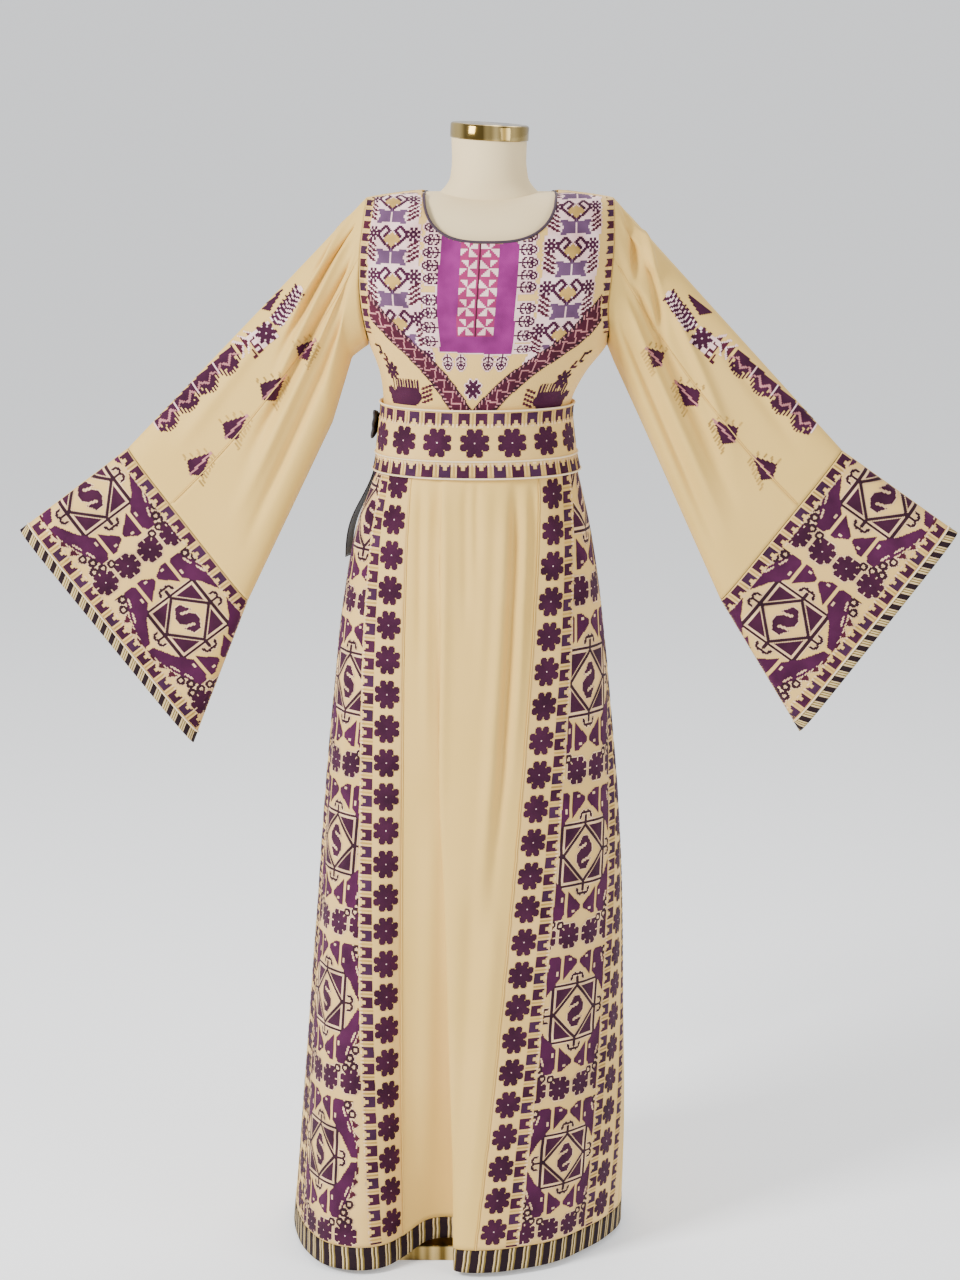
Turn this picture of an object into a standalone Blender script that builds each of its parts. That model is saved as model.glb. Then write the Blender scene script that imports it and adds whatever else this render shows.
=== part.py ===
"""An embroidered thobe robe with winged sleeves and its own belt, on a limbless dress form.

Metres, +Z up, the front of the robe towards -Y. The origin is on the floor under the pole of
the form. Every piece of cloth is a thin wall over a smooth surface, worked out from the tables
of sections and folds below.
"""

import math

import bmesh
import bpy
import numpy as np

OBJECT = "thobe_robe"

WALL = 0.0016  # thickness of the cloth
TRIM_WALL = 0.0024  # folded bands: hem, cuff bindings, belt
SEAM = 0.0003  # gap between neighbouring pieces
TRIM_LIFT = 0.0004  # the folded bands stand this far out from the cloth beside them

# Plain body of the robe, one row for each height: half widths and depths from the pole's axis.
#            z      left   right  front  back
SECTIONS = (
    (0.010, 0.266, 0.207, 0.215, 0.205),
    (0.150, 0.254, 0.211, 0.198, 0.200),
    (0.330, 0.240, 0.209, 0.176, 0.192),
    (0.600, 0.219, 0.202, 0.152, 0.172),
    (0.770, 0.204, 0.188, 0.139, 0.157),
    (0.915, 0.188, 0.174, 0.128, 0.142),
    (1.030, 0.166, 0.156, 0.118, 0.124),
    (1.105, 0.140, 0.139, 0.108, 0.102),
    (1.150, 0.134, 0.131, 0.104, 0.096),
    (1.200, 0.131, 0.130, 0.107, 0.095),
    (1.240, 0.138, 0.148, 0.113, 0.097),
    (1.277, 0.154, 0.174, 0.118, 0.101),
    (1.335, 0.182, 0.183, 0.119, 0.104),
    (1.400, 0.190, 0.186, 0.115, 0.103),
    (1.480, 0.184, 0.184, 0.112, 0.101),
)
SQUARENESS = 2.2  # exponent of the sections: 2 is an ellipse
LEAN = 0.018  # the form leans to the right between the waist and the shoulders
LEAN_FROM, LEAN_TO = 1.15, 1.50

HEM_Z = 0.008
WAIST_Z = 1.150  # the bodice and the skirt meet under the belt
UNDERARM_Z = 1.277
SHOULDER_Z = 1.489  # beside the neck
SHOULDER_DROP = 0.13  # fall of the shoulder seam for each metre outwards
CHEST_ROUND = 3.2  # how late the chest turns over to the shoulder
ARMHOLE_IN = 0.08  # share of the half width that the armhole cuts away
ARMHOLE_ROUND = 0.35  # share of its height in which the armhole reaches that depth
NECK_HALF = 0.415  # share of the half turn of the bodice that the neckline takes
NECK_DROP_FRONT, NECK_DROP_BACK = 0.064, 0.016
NECK_COLUMNS = 13
BODICE_TOP = 1.9993  # v of the bodice's top row, just short of the shoulder seam
BODICE_EDGE = 0.9985  # share of the half turn where its cloth ends, just short of the armhole
SHOULDER_WIDE = 0.137  # half width of the shoulders, for the fall of their seam
CHEST_LEVELS = np.array([0.12, 0.25, 0.38, 0.52, 0.66, 0.79, 0.9, 0.965, 1.0])

# Folds of the skirt at the front, from the left side to the right one. turn is the angle in
# degrees where a fold starts at the waist, x, y and z are its place at the hem, deep is the
# power with which it grows towards the hem, and tuck is how far it stands out at the waist.
#              turn    x       y       z      deep  tuck
FRONT_FOLDS = (
    (-90.0, -0.266, -0.005, 0.008, 1.0, 0.000),
    (-74.0, -0.259, -0.075, 0.008, 1.0, 0.001),
    (-61.0, -0.243, -0.142, 0.008, 1.1, -0.001),
    (-51.0, -0.214, -0.198, 0.008, 1.3, 0.001),
    (-43.0, -0.172, -0.221, 0.008, 1.4, -0.001),
    (-36.0, -0.133, -0.211, 0.008, 1.5, 0.001),
    (-30.0, -0.103, -0.180, 0.012, 1.9, 0.000),
    (-25.5, -0.072, -0.162, 0.028, 2.2, -0.002),
    (-22.0, -0.040, -0.156, 0.031, 2.4, -0.004),
    (-20.0, -0.015, -0.164, 0.029, 2.4, -0.003),
    (-18.6, -0.017, -0.190, 0.017, 2.2, 0.002),
    (-17.0, -0.033, -0.216, 0.008, 1.7, 0.004),
    (-12.0, -0.016, -0.230, 0.008, 1.4, 0.001),
    (0.0, 0.022, -0.229, 0.008, 1.0, 0.000),
    (14.0, 0.055, -0.218, 0.008, 1.0, -0.001),
    (27.0, 0.088, -0.203, 0.008, 1.0, -0.003),
    (40.0, 0.118, -0.181, 0.008, 1.0, 0.002),
    (54.0, 0.150, -0.143, 0.008, 1.0, -0.001),
    (70.0, 0.182, -0.096, 0.008, 1.0, 0.001),
    (90.0, 0.207, -0.030, 0.008, 1.0, 0.000),
)
# Folds round the back: turn at the waist, distance out from the plain hem, tuck at the waist.
#             turn    out     tuck
BACK_FOLDS = (
    (107.0, 0.006, 0.001),
    (121.0, -0.010, -0.002),
    (135.0, 0.012, 0.002),
    (149.0, -0.020, -0.003),
    (164.0, 0.014, 0.002),
    (180.0, -0.022, -0.003),
    (196.0, 0.016, 0.003),
    (211.0, -0.018, -0.002),
    (226.0, 0.012, 0.002),
    (239.0, -0.008, -0.001),
    (253.0, 0.006, 0.001),
)
TUCK_LENGTH = 0.30  # height in which the tucks at the waist fade out
UNDER_BELT, TUCK_RISE = 0.25, 0.04  # share of a tuck that the belt leaves, and where it is whole
SKIRT_PANELS = (
    # name, colour, columns
    ("skirt_side_left", "embroidered", 15),
    ("skirt_front", "crepe", 20),
    ("skirt_side_right", "embroidered", 15),
    ("skirt_back", "crepe", 30),
)
SKIRT_LEVELS = np.array([0.0, 0.044, 0.085, 0.135, 0.2, 0.3, 0.42, 0.55, 0.68, 0.8, 0.91, 1.0])
FRONT_Y = -0.05  # the front seams are looked for in front of this

# Front seams of the skirt: where the plain panel meets the embroidered sides.
#            z      left    right
FRONT_SEAMS = (
    (0.008, -0.103, -0.006),
    (0.150, -0.105, 0.011),
    (0.400, -0.106, 0.037),
    (0.700, -0.103, 0.064),
    (0.900, -0.100, 0.078),
    (1.080, -0.092, 0.085),
    (1.150, -0.086, 0.083),
)
SIDE_PANEL, SIDE_PANEL_WAIST = 0.284, 0.222  # width of an embroidered side, and at the waist
SIDE_TAPER_Z = 0.93  # above this the side panels narrow to the waist

BELT_BOTTOM, BELT_TOP = 1.104, 1.198
BELT_OUT = 0.0044  # outer face of the belt, clear of the tucks under it
BELT_COLUMNS = 56
HEM_BAND = 0.031
BINDING = 0.014
NECK_BINDING_R = 0.0016

# Sleeves, one row a side: corners in the plane of the wings, top and bottom of the seam where
# the cuff starts, and of the cuff's open edge.
#   side   seam_top          seam_bottom       edge_top          edge_bottom
SLEEVES = {
    "left": ((-0.486, 1.132), (-0.322, 0.916), (-0.628, 1.025), (-0.396, 0.727)),
    "right": ((0.508, 1.129), (0.342, 0.917), (0.660, 1.021), (0.448, 0.742)),
}
CUFF = 0.172  # depth of the cuff, from its seam to its edge
SLEEVE_HALF_SEAM, SLEEVE_HALF_EDGE = 0.020, 0.017  # half thickness of the hollow sleeve
GUSSET_ARM, GUSSET_CUFF = 0.70, 0.385  # where the gusset's seam runs, from the top fold down
SLEEVE_FULL = 0.020  # spare cloth under the left arm
FULL_FROM, FULL_TO = 0.05, 0.30  # v where it hangs fullest, and where it ends
SLEEVE_START = 0.0018  # v where the sleeve's cloth starts, just clear of the armhole
GUSSET_SEAM = 0.0008  # half the gap at the gusset's seams, as q
SLEEVE_LEVELS = np.array([0.0, 0.1, 0.2, 0.3, 0.53, 0.77, 1.0])
SLEEVE_COLUMNS, GUSSET_COLUMNS, CUFF_COLUMNS = 21, 15, 32
SLEEVE_GATHERS = 7
GATHER_DEPTH = 0.0035
GATHER_LENGTH = 0.30  # share of the sleeve in which the gathers fade

# Satin bow of the belt, at the left side: sizes of the ribbon, its loops, tails and knot
RIBBON_TURN = math.radians(-112.0)
RIBBON_Z = 1.166
RIBBON_WALL = 0.0012
RIBBON_OUT = BELT_OUT + 0.0017
BACK_LOOP_IN = 0.0008  # the loop towards the back lies closer
RIBBON_HALF, RIBBON_PINCH, TAIL_HALF = 0.020, 0.007, 0.012
LOOP_LENGTH, LOOP_GAP, LOOP_BELLY = 0.046, 0.0050, 0.0070
KNOT_HALF, KNOT_OUT, KNOT_SIZE = 0.0085, BELT_OUT + 0.0065, (0.015, 0.011, 0.019)
TAIL_LENGTHS = (0.150, 0.185)
TAIL_SWINGS = (-0.16, 0.0)  # how far each tail swings round, the back one first
TAIL_CLEAR = 0.0065

# Dress form
FORM_AIR = 0.0050  # air between the form and the cloth
HIP_AIR = 0.010  # more of it under the folds of the skirt
SHOULDER_AIR = 0.0004  # where the robe hangs on the form
FORM_BOTTOM = 0.800
FORM_COLUMNS = 32
FORM_HEIGHTS = (FORM_BOTTOM, 0.86, 0.93, 1.0, 1.06, 1.11, 1.15, 1.20, 1.24, UNDERARM_Z)
FORM_CHEST = (0.15, 0.3, 0.45, 0.6, 0.75, 0.88, 0.96)  # shares of the turn over to the shoulder
FORM_NARROW, NARROW_FROM, NARROW_HIGH = 0.10, 1.18, 0.14  # narrower across the armholes
# Neck of the form, one row a ring, from inside the torso to under the cap.
#     z      across  deep
NECK = (
    (1.430, 0.074, 0.046),
    (1.474, 0.076, 0.046),
    (1.483, 0.071, 0.0462),
    (1.492, 0.062, 0.0470),
    (1.502, 0.055, 0.0490),
    (1.516, 0.052, 0.0510),
    (1.558, 0.0515, 0.0515),
)
CAP_RADIUS, CAP_HEIGHT = 0.054, 0.021
NECK_X, NECK_Y = 0.0165, -0.006
CAP_TILT = math.radians(3.2)
POLE_RADIUS = 0.0125
BASE_HALF_X, BASE_FRONT, BASE_BACK = 0.115, 0.165, 0.120
BASE_THICK, BASE_BEVEL = 0.022, 0.002

COLOURS = {
    # name: colour, roughness, metallic
    "crepe": ((0.70, 0.53, 0.32, 1.0), 0.75, 0.0),
    "embroidered": ((0.36, 0.16, 0.27, 1.0), 0.85, 0.0),
    "striped band": ((0.06, 0.03, 0.05, 1.0), 0.80, 0.0),
    "satin": ((0.03, 0.02, 0.03, 1.0), 0.35, 0.0),
    "ivory": ((0.85, 0.83, 0.78, 1.0), 0.55, 0.0),
    "gold": ((0.80, 0.58, 0.22, 1.0), 0.25, 1.0),
}


def smooth_curve(at, knots, values):
    """Values at any place along the knots, on a smooth curve through them (columns allowed)."""
    knots = np.asarray(knots, float)
    values = np.asarray(values, float)
    at = np.clip(np.asarray(at, float), knots[0], knots[-1])
    slopes = np.gradient(values, knots, axis=0)
    i = np.clip(np.searchsorted(knots, at, side="right") - 1, 0, len(knots) - 2)
    step = knots[i + 1] - knots[i]
    t = (at - knots[i]) / step
    if values.ndim > 1:
        step, t = step[..., None], t[..., None]
    return (
        (1 + 2 * t) * (1 - t) ** 2 * values[i]
        + t * (1 - t) ** 2 * step * slopes[i]
        + t * t * (3 - 2 * t) * values[i + 1]
        - t * t * (1 - t) * step * slopes[i + 1]
    )


def ease(t):
    """0 to 1 with level ends."""
    t = np.clip(t, 0.0, 1.0)
    return t * t * (3 - 2 * t)


def signed_power(value, power):
    return np.sign(value) * np.abs(value) ** power


def lean(z):
    return LEAN * ease((z - LEAN_FROM) / (LEAN_TO - LEAN_FROM))


def body(turn, z, closing=1.0):
    """Plain body of the robe: turn in radians from the front, to the right. closing thins it."""
    rows = np.array(SECTIONS)
    left, right, front, back = np.moveaxis(smooth_curve(z, rows[:, 0], rows[:, 1:]), -1, 0)
    s, c = np.sin(turn), np.cos(turn)
    half = np.where(s > 0, right, left)
    deep = np.where(c > 0, front, back)
    x = lean(z) + half * signed_power(s, 2 / SQUARENESS)
    y = -deep * closing * signed_power(c, 2 / SQUARENESS)
    return np.stack(np.broadcast_arrays(x, y, z), axis=-1)


# Skirt


def fold_rows():
    """All folds round the skirt once, and the first ones again: turn, hem x, y, z, deep, tuck."""
    rows = [list(row) for row in FRONT_FOLDS]
    for turn, out, tuck in BACK_FOLDS:
        x, y, _ = body(math.radians(turn), np.array(HEM_Z))
        far = math.hypot(x, y)
        rows.append([turn, x * (1 + out / far), y * (1 + out / far), HEM_Z, 1.0, tuck])
    count = len(rows)
    wrapped = [[row[0] - 360.0] + row[1:] for row in rows[-3:]]
    after = [[row[0] + 360.0] + row[1:] for row in rows[:4]]
    return np.array(wrapped + rows + after), count


FOLDS, FOLD_COUNT = fold_rows()


def skirt(fold, v):
    """Skirt surface: fold counts along the table of folds, v runs from 0 at the waist to 1."""
    fold, v = np.broadcast_arrays(np.mod(fold, FOLD_COUNT), v)
    knots = np.arange(len(FOLDS)) - 3.0
    turn, hem_x, hem_y, hem_z, deep, tuck = np.moveaxis(smooth_curve(fold, knots, FOLDS), -1, 0)
    turn = np.radians(turn)
    z = WAIST_Z + (hem_z - WAIST_Z) * v
    plain = body(turn, z)
    plain_hem = body(turn, hem_z)
    below = np.maximum(BELT_BOTTOM - z, 0.0)
    free = below / (BELT_BOTTOM - hem_z)
    grown = free**deep
    out = tuck * (UNDER_BELT + (1 - UNDER_BELT) * ease(below / TUCK_RISE))
    out = out * np.exp(-((below / TUCK_LENGTH) ** 2))
    x = plain[..., 0] + free * (hem_x - plain_hem[..., 0]) + out * np.sin(turn)
    y = plain[..., 1] + grown * (hem_y - plain_hem[..., 1]) - out * np.cos(turn)
    return np.stack([x, y, z], axis=-1)


def skirt_ring(v, samples=1400):
    """Fold numbers and distances along the cloth round the skirt at v, from the left side."""
    fold = np.linspace(0.0, FOLD_COUNT, samples)
    points = skirt(fold, v)
    steps = np.linalg.norm(np.diff(points, axis=0), axis=1)
    return fold, points, np.concatenate([[0.0], np.cumsum(steps)])


def skirt_seams(v):
    """Distances round the skirt of its four seams at v, the left back one first."""
    _, points, along = skirt_ring(v)
    rows = np.array(FRONT_SEAMS)
    z = WAIST_Z + (HEM_Z - WAIST_Z) * v
    left_x, right_x = smooth_curve(z, rows[:, 0], rows[:, 1:])
    front = points[:, 1] < FRONT_Y
    left = along[np.argmax(front & (points[:, 0] > left_x))]
    right = along[len(along) - 1 - np.argmax((front & (points[:, 0] < right_x))[::-1])]
    narrow = ease((z - SIDE_TAPER_Z) / (WAIST_Z - SIDE_TAPER_Z))
    width = SIDE_PANEL + (SIDE_PANEL_WAIST - SIDE_PANEL) * narrow
    return left - width, left, right, right + width


def skirt_at(distance, v):
    """Fold numbers where the cloth is this far round the skirt at v."""
    fold, _, along = skirt_ring(v)
    return np.interp(np.mod(distance, along[-1]), along, fold)


def skirt_panel(first, second, columns, seam=SEAM):
    """Fold numbers and v over one panel of the skirt, between two of its seams."""
    folds, levels = [], []
    for v in SKIRT_LEVELS * (1.0 - band_share()):
        seams = list(skirt_seams(v))
        seams.append(seams[0] + skirt_ring(v)[2][-1])
        here = np.linspace(seams[first] + seam / 2, seams[second] - seam / 2, columns + 1)
        folds.append(skirt_at(here, v))
        levels.append(np.full(columns + 1, v))
    return np.array(folds), np.array(levels)


# Bodice


def armhole_turn(z):
    """How far round the front, in radians, the bodice reaches at this height."""
    up = np.clip((z - UNDERARM_Z) / (SHOULDER_Z - UNDERARM_Z) / ARMHOLE_ROUND, 0.0, 1.0)
    reach = 1.0 - ARMHOLE_IN * np.sin(up * math.pi / 2)
    return np.arcsin(np.clip(reach, 0.0, 1.0) ** (SQUARENESS / 2))


def neck_top(share, drop):
    """Height of the bodice's top at this share of its half turn, -1 to 1."""
    inside = np.clip(np.abs(share) / NECK_HALF, 0.0, 1.0)
    beside = np.clip(np.abs(share) - NECK_HALF, 0.0, 1.0)
    ridge = SHOULDER_Z - SHOULDER_DROP * SHOULDER_WIDE * beside
    return ridge - drop * (1 - inside**2.6) ** 0.5


def bodice(share, v, back, drop):
    """Bodice surface: share -1 to 1 across, v from 0 at the waist to 1 at the underarm and 2
    at the shoulder or the neckline."""
    share, v = np.broadcast_arrays(share, v)
    top = neck_top(share, 0.0)
    reach = np.clip((neck_top(share, drop) - UNDERARM_Z) / (top - UNDERARM_Z), 0.0, 1.0)
    turned = np.arcsin(reach ** (CHEST_ROUND / 2))
    angle = np.clip(v - 1.0, 0.0, 1.0) * turned
    up = np.sin(angle) ** (2 / CHEST_ROUND)
    closing = np.cos(angle) ** (2 / CHEST_ROUND)
    z = np.where(v < 1.0, WAIST_Z + (UNDERARM_Z - WAIST_Z) * v, UNDERARM_Z + (top - UNDERARM_Z) * up)
    turn = share * armhole_turn(z)
    return body(np.where(back, math.pi - turn, turn), z, closing)


def front_bodice(share, v):
    return bodice(share, v, False, NECK_DROP_FRONT)


def back_bodice(share, v):
    return bodice(share, v, True, NECK_DROP_BACK)


# Sleeves


def armhole(side, q):
    """Edge of an armhole: q runs from -1, the underarm, up the back to 0, the tip of the
    shoulder, and down the front to 1."""
    sign = -1.0 if side == "left" else 1.0
    return np.where(
        (q >= 0)[..., None],
        front_bodice(np.full(q.shape, sign), 2.0 - np.abs(q)),
        back_bodice(np.full(q.shape, sign), 2.0 - np.abs(q)),
    )


def ring_share(q):
    """How far down its flattened ring q lies, 0 to 1."""
    return 0.45 * (1 - np.cos(math.pi * np.abs(q))) / 2 + 0.55 * np.abs(q)


def wing_ring(top, bottom, half, q):
    """Flattened ring of a sleeve between two corners, with q as at the armhole."""
    along = ring_share(q)
    round_end = np.sqrt(np.clip(1 - (2 * along - 1) ** 6, 0.0, 1.0))
    x = top[0] + (bottom[0] - top[0]) * along
    z = top[1] + (bottom[1] - top[1]) * along
    return np.stack([x, -np.sign(q) * half * round_end, z], axis=-1)


def sleeve(side, q, v):
    """Sleeve surface: v from 0 at the armhole to 1 at the cuff's seam, 2 at its open edge."""
    q, v = np.broadcast_arrays(q, v)
    seam_top, seam_bottom, edge_top, edge_bottom = SLEEVES[side]
    sign = -1.0 if side == "left" else 1.0
    arm = armhole(side, q)
    seam = wing_ring(seam_top, seam_bottom, SLEEVE_HALF_SEAM, q)
    edge = wing_ring(edge_top, edge_bottom, SLEEVE_HALF_EDGE, q)
    first = np.clip(v, 0.0, 1.0)[..., None]
    second = np.maximum(v - 1.0, 0.0)[..., None]
    points = arm + (seam - arm) * first + (edge - seam) * second
    fade = np.clip(1 - first / GATHER_LENGTH, 0.0, 1.0) * ease(first * 12)
    ripple = np.cos(q * math.pi * SLEEVE_GATHERS)[..., None] * fade * GATHER_DEPTH
    full = ease((ring_share(q) - 0.70) / 0.30) * np.clip(v / FULL_FROM, 0.0, 1.0)
    full = full * np.clip(1 - v / FULL_TO, 0.0, 1.0) * (SLEEVE_FULL if side == "left" else 0.0)
    points = points + full[..., None] * np.array([sign, 0.0, 0.0])
    return points + ripple * np.sign(-q)[..., None] * np.array([0.35 * sign, 1.0, 0.0])


def gusset_share(v):
    """How far from the top fold the gusset's seam lies, as q."""
    return GUSSET_ARM + (GUSSET_CUFF - GUSSET_ARM) * v


# Meshes


def normals_of(surface, a, b, step=1e-3):
    across = surface(a + step, b) - surface(a - step, b)
    down = surface(a, b + step) - surface(a, b - step)
    normal = np.cross(across, down)
    return normal / np.maximum(np.linalg.norm(normal, axis=-1, keepdims=True), 1e-12)


def wall(name, colour, surface, a, b, facing, thick=WALL, out=0.0, closed=False):
    """Wall over the surface at the grid of a and b. Its outer face lies out from the surface,
    and it is closed round when the columns meet. facing is -1 where a to b turns inwards."""
    points = surface(a, b)
    normal = normals_of(surface, a, b) * facing
    outer = points + normal * out
    inner = points + normal * (out - thick)
    rows, columns = a.shape
    mesh = bmesh.new()
    faces_out = [[mesh.verts.new(p) for p in row] for row in outer]
    faces_in = [[mesh.verts.new(p) for p in row] for row in inner]
    last = columns if closed else columns - 1
    for i in range(rows - 1):
        for j in range(last):
            k = (j + 1) % columns
            for grid in (faces_out, faces_in):
                mesh.faces.new((grid[i][j], grid[i + 1][j], grid[i + 1][k], grid[i][k]))
    for i in (0, -1):
        for j in range(last):
            k = (j + 1) % columns
            mesh.faces.new((faces_out[i][j], faces_out[i][k], faces_in[i][k], faces_in[i][j]))
    for j in () if closed else (0, -1):
        for i in range(rows - 1):
            mesh.faces.new((faces_out[i][j], faces_out[i + 1][j], faces_in[i + 1][j], faces_in[i][j]))
    return add_mesh(name, colour, mesh)


def add_mesh(name, colour, mesh):
    """Object from a finished bmesh, its faces turned out."""
    bmesh.ops.recalc_face_normals(mesh, faces=mesh.faces)
    data = bpy.data.meshes.new(name)
    mesh.to_mesh(data)
    mesh.free()
    thing = bpy.data.objects.new(name, data)
    collection().objects.link(thing)
    return finish(thing, name, colour)


def collection():
    found = bpy.data.collections.get(OBJECT)
    if found is None:
        found = bpy.data.collections.new(OBJECT)
        bpy.context.scene.collection.children.link(found)
    return found


def finish(thing, name, colour):
    """Name, own material and smooth shading."""
    thing.name = name
    material = bpy.data.materials.new(name)
    material.use_nodes = True
    shader = material.node_tree.nodes["Principled BSDF"]
    rgba, rough, metal = COLOURS[colour]
    shader.inputs["Base Color"].default_value = rgba
    shader.inputs["Roughness"].default_value = rough
    shader.inputs["Metallic"].default_value = metal
    thing.data.materials.clear()
    thing.data.materials.append(material)
    if thing.type == "MESH":
        thing.data.shade_smooth()
        thing.data.set_sharp_from_angle(angle=math.radians(40))
    return thing


def move_to_collection(thing):
    for holder in list(thing.users_collection):
        holder.objects.unlink(thing)
    collection().objects.link(thing)


def band_share():
    return (HEM_BAND + SEAM) / (WAIST_Z - HEM_Z)


def build_skirt():
    """Plain front, two embroidered sides, a back with deep folds, and the striped hem."""
    around = []
    for first, (name, colour, columns) in enumerate(SKIRT_PANELS):
        a, b = skirt_panel(first, first + 1, columns)
        wall(name, colour, skirt, a, b, -1)
        around.append(skirt_panel(first, first + 1, columns, 0.0)[0][-1][:-1])
    down = np.array([1.0 - band_share() + 2 * SEAM / WAIST_Z, 1.0])
    a, b = np.meshgrid(np.concatenate(around), down)
    wall("hem_band", "striped band", skirt, a, b, -1, TRIM_WALL, TRIM_LIFT, closed=True)


def build_bodice():
    """Front and back, open at the neck, the armholes and the waist."""
    inside = np.linspace(-NECK_HALF, NECK_HALF, NECK_COLUMNS)
    beside = np.linspace(NECK_HALF, 1.0, 5)[1:]
    share = np.concatenate([-beside[::-1], inside, beside])
    down = np.concatenate([np.linspace(0.0, 1.0, 4), 1.0 + (BODICE_TOP - 1.0) * CHEST_LEVELS])
    down[0] += SEAM / (UNDERARM_Z - WAIST_Z)
    a, b = np.meshgrid(share * BODICE_EDGE, down[::-1])
    wall("bodice_front", "embroidered", front_bodice, a, b, 1)
    wall("bodice_back", "embroidered", back_bodice, a, b, -1)


def neckline():
    """Points along the neck edge, once round, moved out of the cloth into the opening."""
    share = np.linspace(-NECK_HALF, NECK_HALF, NECK_COLUMNS) * BODICE_EDGE
    top = np.full(NECK_COLUMNS, BODICE_TOP)
    front = front_bodice(share, top)
    back = back_bodice(share[::-1], top)
    front_normal = normals_of(front_bodice, share, top)
    back_normal = -normals_of(back_bodice, share[::-1], top)
    edge = np.concatenate([front, back])
    normal = np.concatenate([front_normal, back_normal])
    tangent = np.roll(edge, -1, axis=0) - np.roll(edge, 1, axis=0)
    inward = np.cross(normal, tangent)
    inward /= np.linalg.norm(inward, axis=1, keepdims=True)
    return edge + inward * (NECK_BINDING_R + 3 * SEAM) + normal * SEAM


def build_neck_binding():
    points = neckline()
    data = bpy.data.curves.new("neck_binding", "CURVE")
    data.dimensions = "3D"
    data.bevel_depth = NECK_BINDING_R
    data.bevel_resolution = 1
    spline = data.splines.new("POLY")
    spline.points.add(len(points) - 1)
    for point, place in zip(spline.points, points):
        point.co = (*place, 1.0)
    spline.use_cyclic_u = True
    thing = bpy.data.objects.new("neck_binding", data)
    collection().objects.link(thing)
    finish(thing, "neck_binding", "striped band")


def build_sleeve(side):
    """Sleeve, gusset, embroidered cuff and its striped binding."""
    flip = 1 if side == "right" else -1

    def surface(q, v):
        return sleeve(side, q, v)

    down = np.clip(SLEEVE_LEVELS, SLEEVE_START, 1.0 - SEAM / CUFF)
    upper = np.linspace(-1.0, 1.0, SLEEVE_COLUMNS)[::flip]
    b = np.repeat(down[:, None], len(upper), axis=1)
    reach = gusset_share(down)[:, None] - GUSSET_SEAM
    wall(f"sleeve_{side}", "crepe", surface, upper[None, :] * reach, b, flip)

    across = np.linspace(-1.0, 1.0, GUSSET_COLUMNS)[::flip]
    b = np.repeat(down[:, None], len(across), axis=1)
    reach = 1.0 - gusset_share(down)[:, None] - GUSSET_SEAM

    def around(q, v):
        return sleeve(side, np.mod(q + 2.0, 2.0) - 1.0, v)

    wall(f"gusset_{side}", "crepe", around, across[None, :] * reach, b, flip)

    ring = np.linspace(-1.0, 1.0, CUFF_COLUMNS, endpoint=False)[::flip]
    levels = (1.0 + SEAM / CUFF, 1.35, 1.7, 2.0 - SEAM / CUFF)
    a, b = np.meshgrid(ring, np.array(levels))
    wall(f"cuff_{side}", "embroidered", surface, a, b, flip, closed=True)
    binding = np.array([2.0 + SEAM / CUFF, 2.0 + BINDING / CUFF])
    a, b = np.meshgrid(ring, binding)
    wall(f"cuff_binding_{side}", "striped band", surface, a, b, flip, TRIM_WALL, TRIM_LIFT, True)


def belt_surface(turn, v):
    """Belt, v from 0 at its top to 1 at its bottom, following bodice and skirt below it."""
    return body(turn, BELT_TOP + (BELT_BOTTOM - BELT_TOP) * v)


def build_belt():
    around = np.linspace(-math.pi, math.pi, BELT_COLUMNS, endpoint=False)
    a, b = np.meshgrid(around, np.array([0.0, 0.25, 0.6, 1.0]))
    wall("belt", "embroidered", belt_surface, a, b, -1, TRIM_WALL, BELT_OUT, closed=True)


def build_form():
    """Limbless torso with its neck, inside the robe, the cap, the pole and the base."""
    rows = []
    around = form_turns()
    for z in FORM_HEIGHTS:
        rows.append(form_ring(around, np.full(FORM_COLUMNS, z), 1.0, FORM_AIR))
    top = SHOULDER_Z - WALL - SHOULDER_AIR
    share = np.arcsin(np.abs(np.sin(around)) * (1 - FORM_NARROW)) / armhole_turn(SHOULDER_Z)
    ridge = top - SHOULDER_DROP * SHOULDER_WIDE * np.clip(share - NECK_HALF, 0.0, 1.0)
    for share in FORM_CHEST:
        angle = share * math.pi / 2
        up = math.sin(angle) ** (2 / CHEST_ROUND)
        closing = math.cos(angle) ** (2 / CHEST_ROUND)
        rows.append(form_ring(around, UNDERARM_Z + (ridge - UNDERARM_Z) * up, closing, FORM_AIR))
    mesh = bmesh.new()
    rings = tube(mesh, rows)
    mesh.faces.new(rings[0][::-1])
    last, half = rings[-1], FORM_COLUMNS // 2
    side = FORM_COLUMNS - half // 2  # the left end of the shoulder ridge
    ridge = [(last[(side + j) % FORM_COLUMNS], last[side - j]) for j in range(half + 1)]
    for (front, back), (next_front, next_back) in zip(ridge, ridge[1:]):
        corners = dict.fromkeys((front, next_front, next_back, back))
        mesh.faces.new(tuple(corners))
    return add_mesh("dress_form", "ivory", mesh)


def form_turns():
    return np.linspace(0.0, 2 * math.pi, FORM_COLUMNS, endpoint=False)


def tube(mesh, rows):
    """Rings of vertices with faces between them."""
    rings = [[mesh.verts.new(place) for place in row] for row in rows]
    for low, high in zip(rings, rings[1:]):
        for j in range(len(low)):
            k = (j + 1) % len(low)
            mesh.faces.new((low[j], low[k], high[k], high[j]))
    return rings


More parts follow.
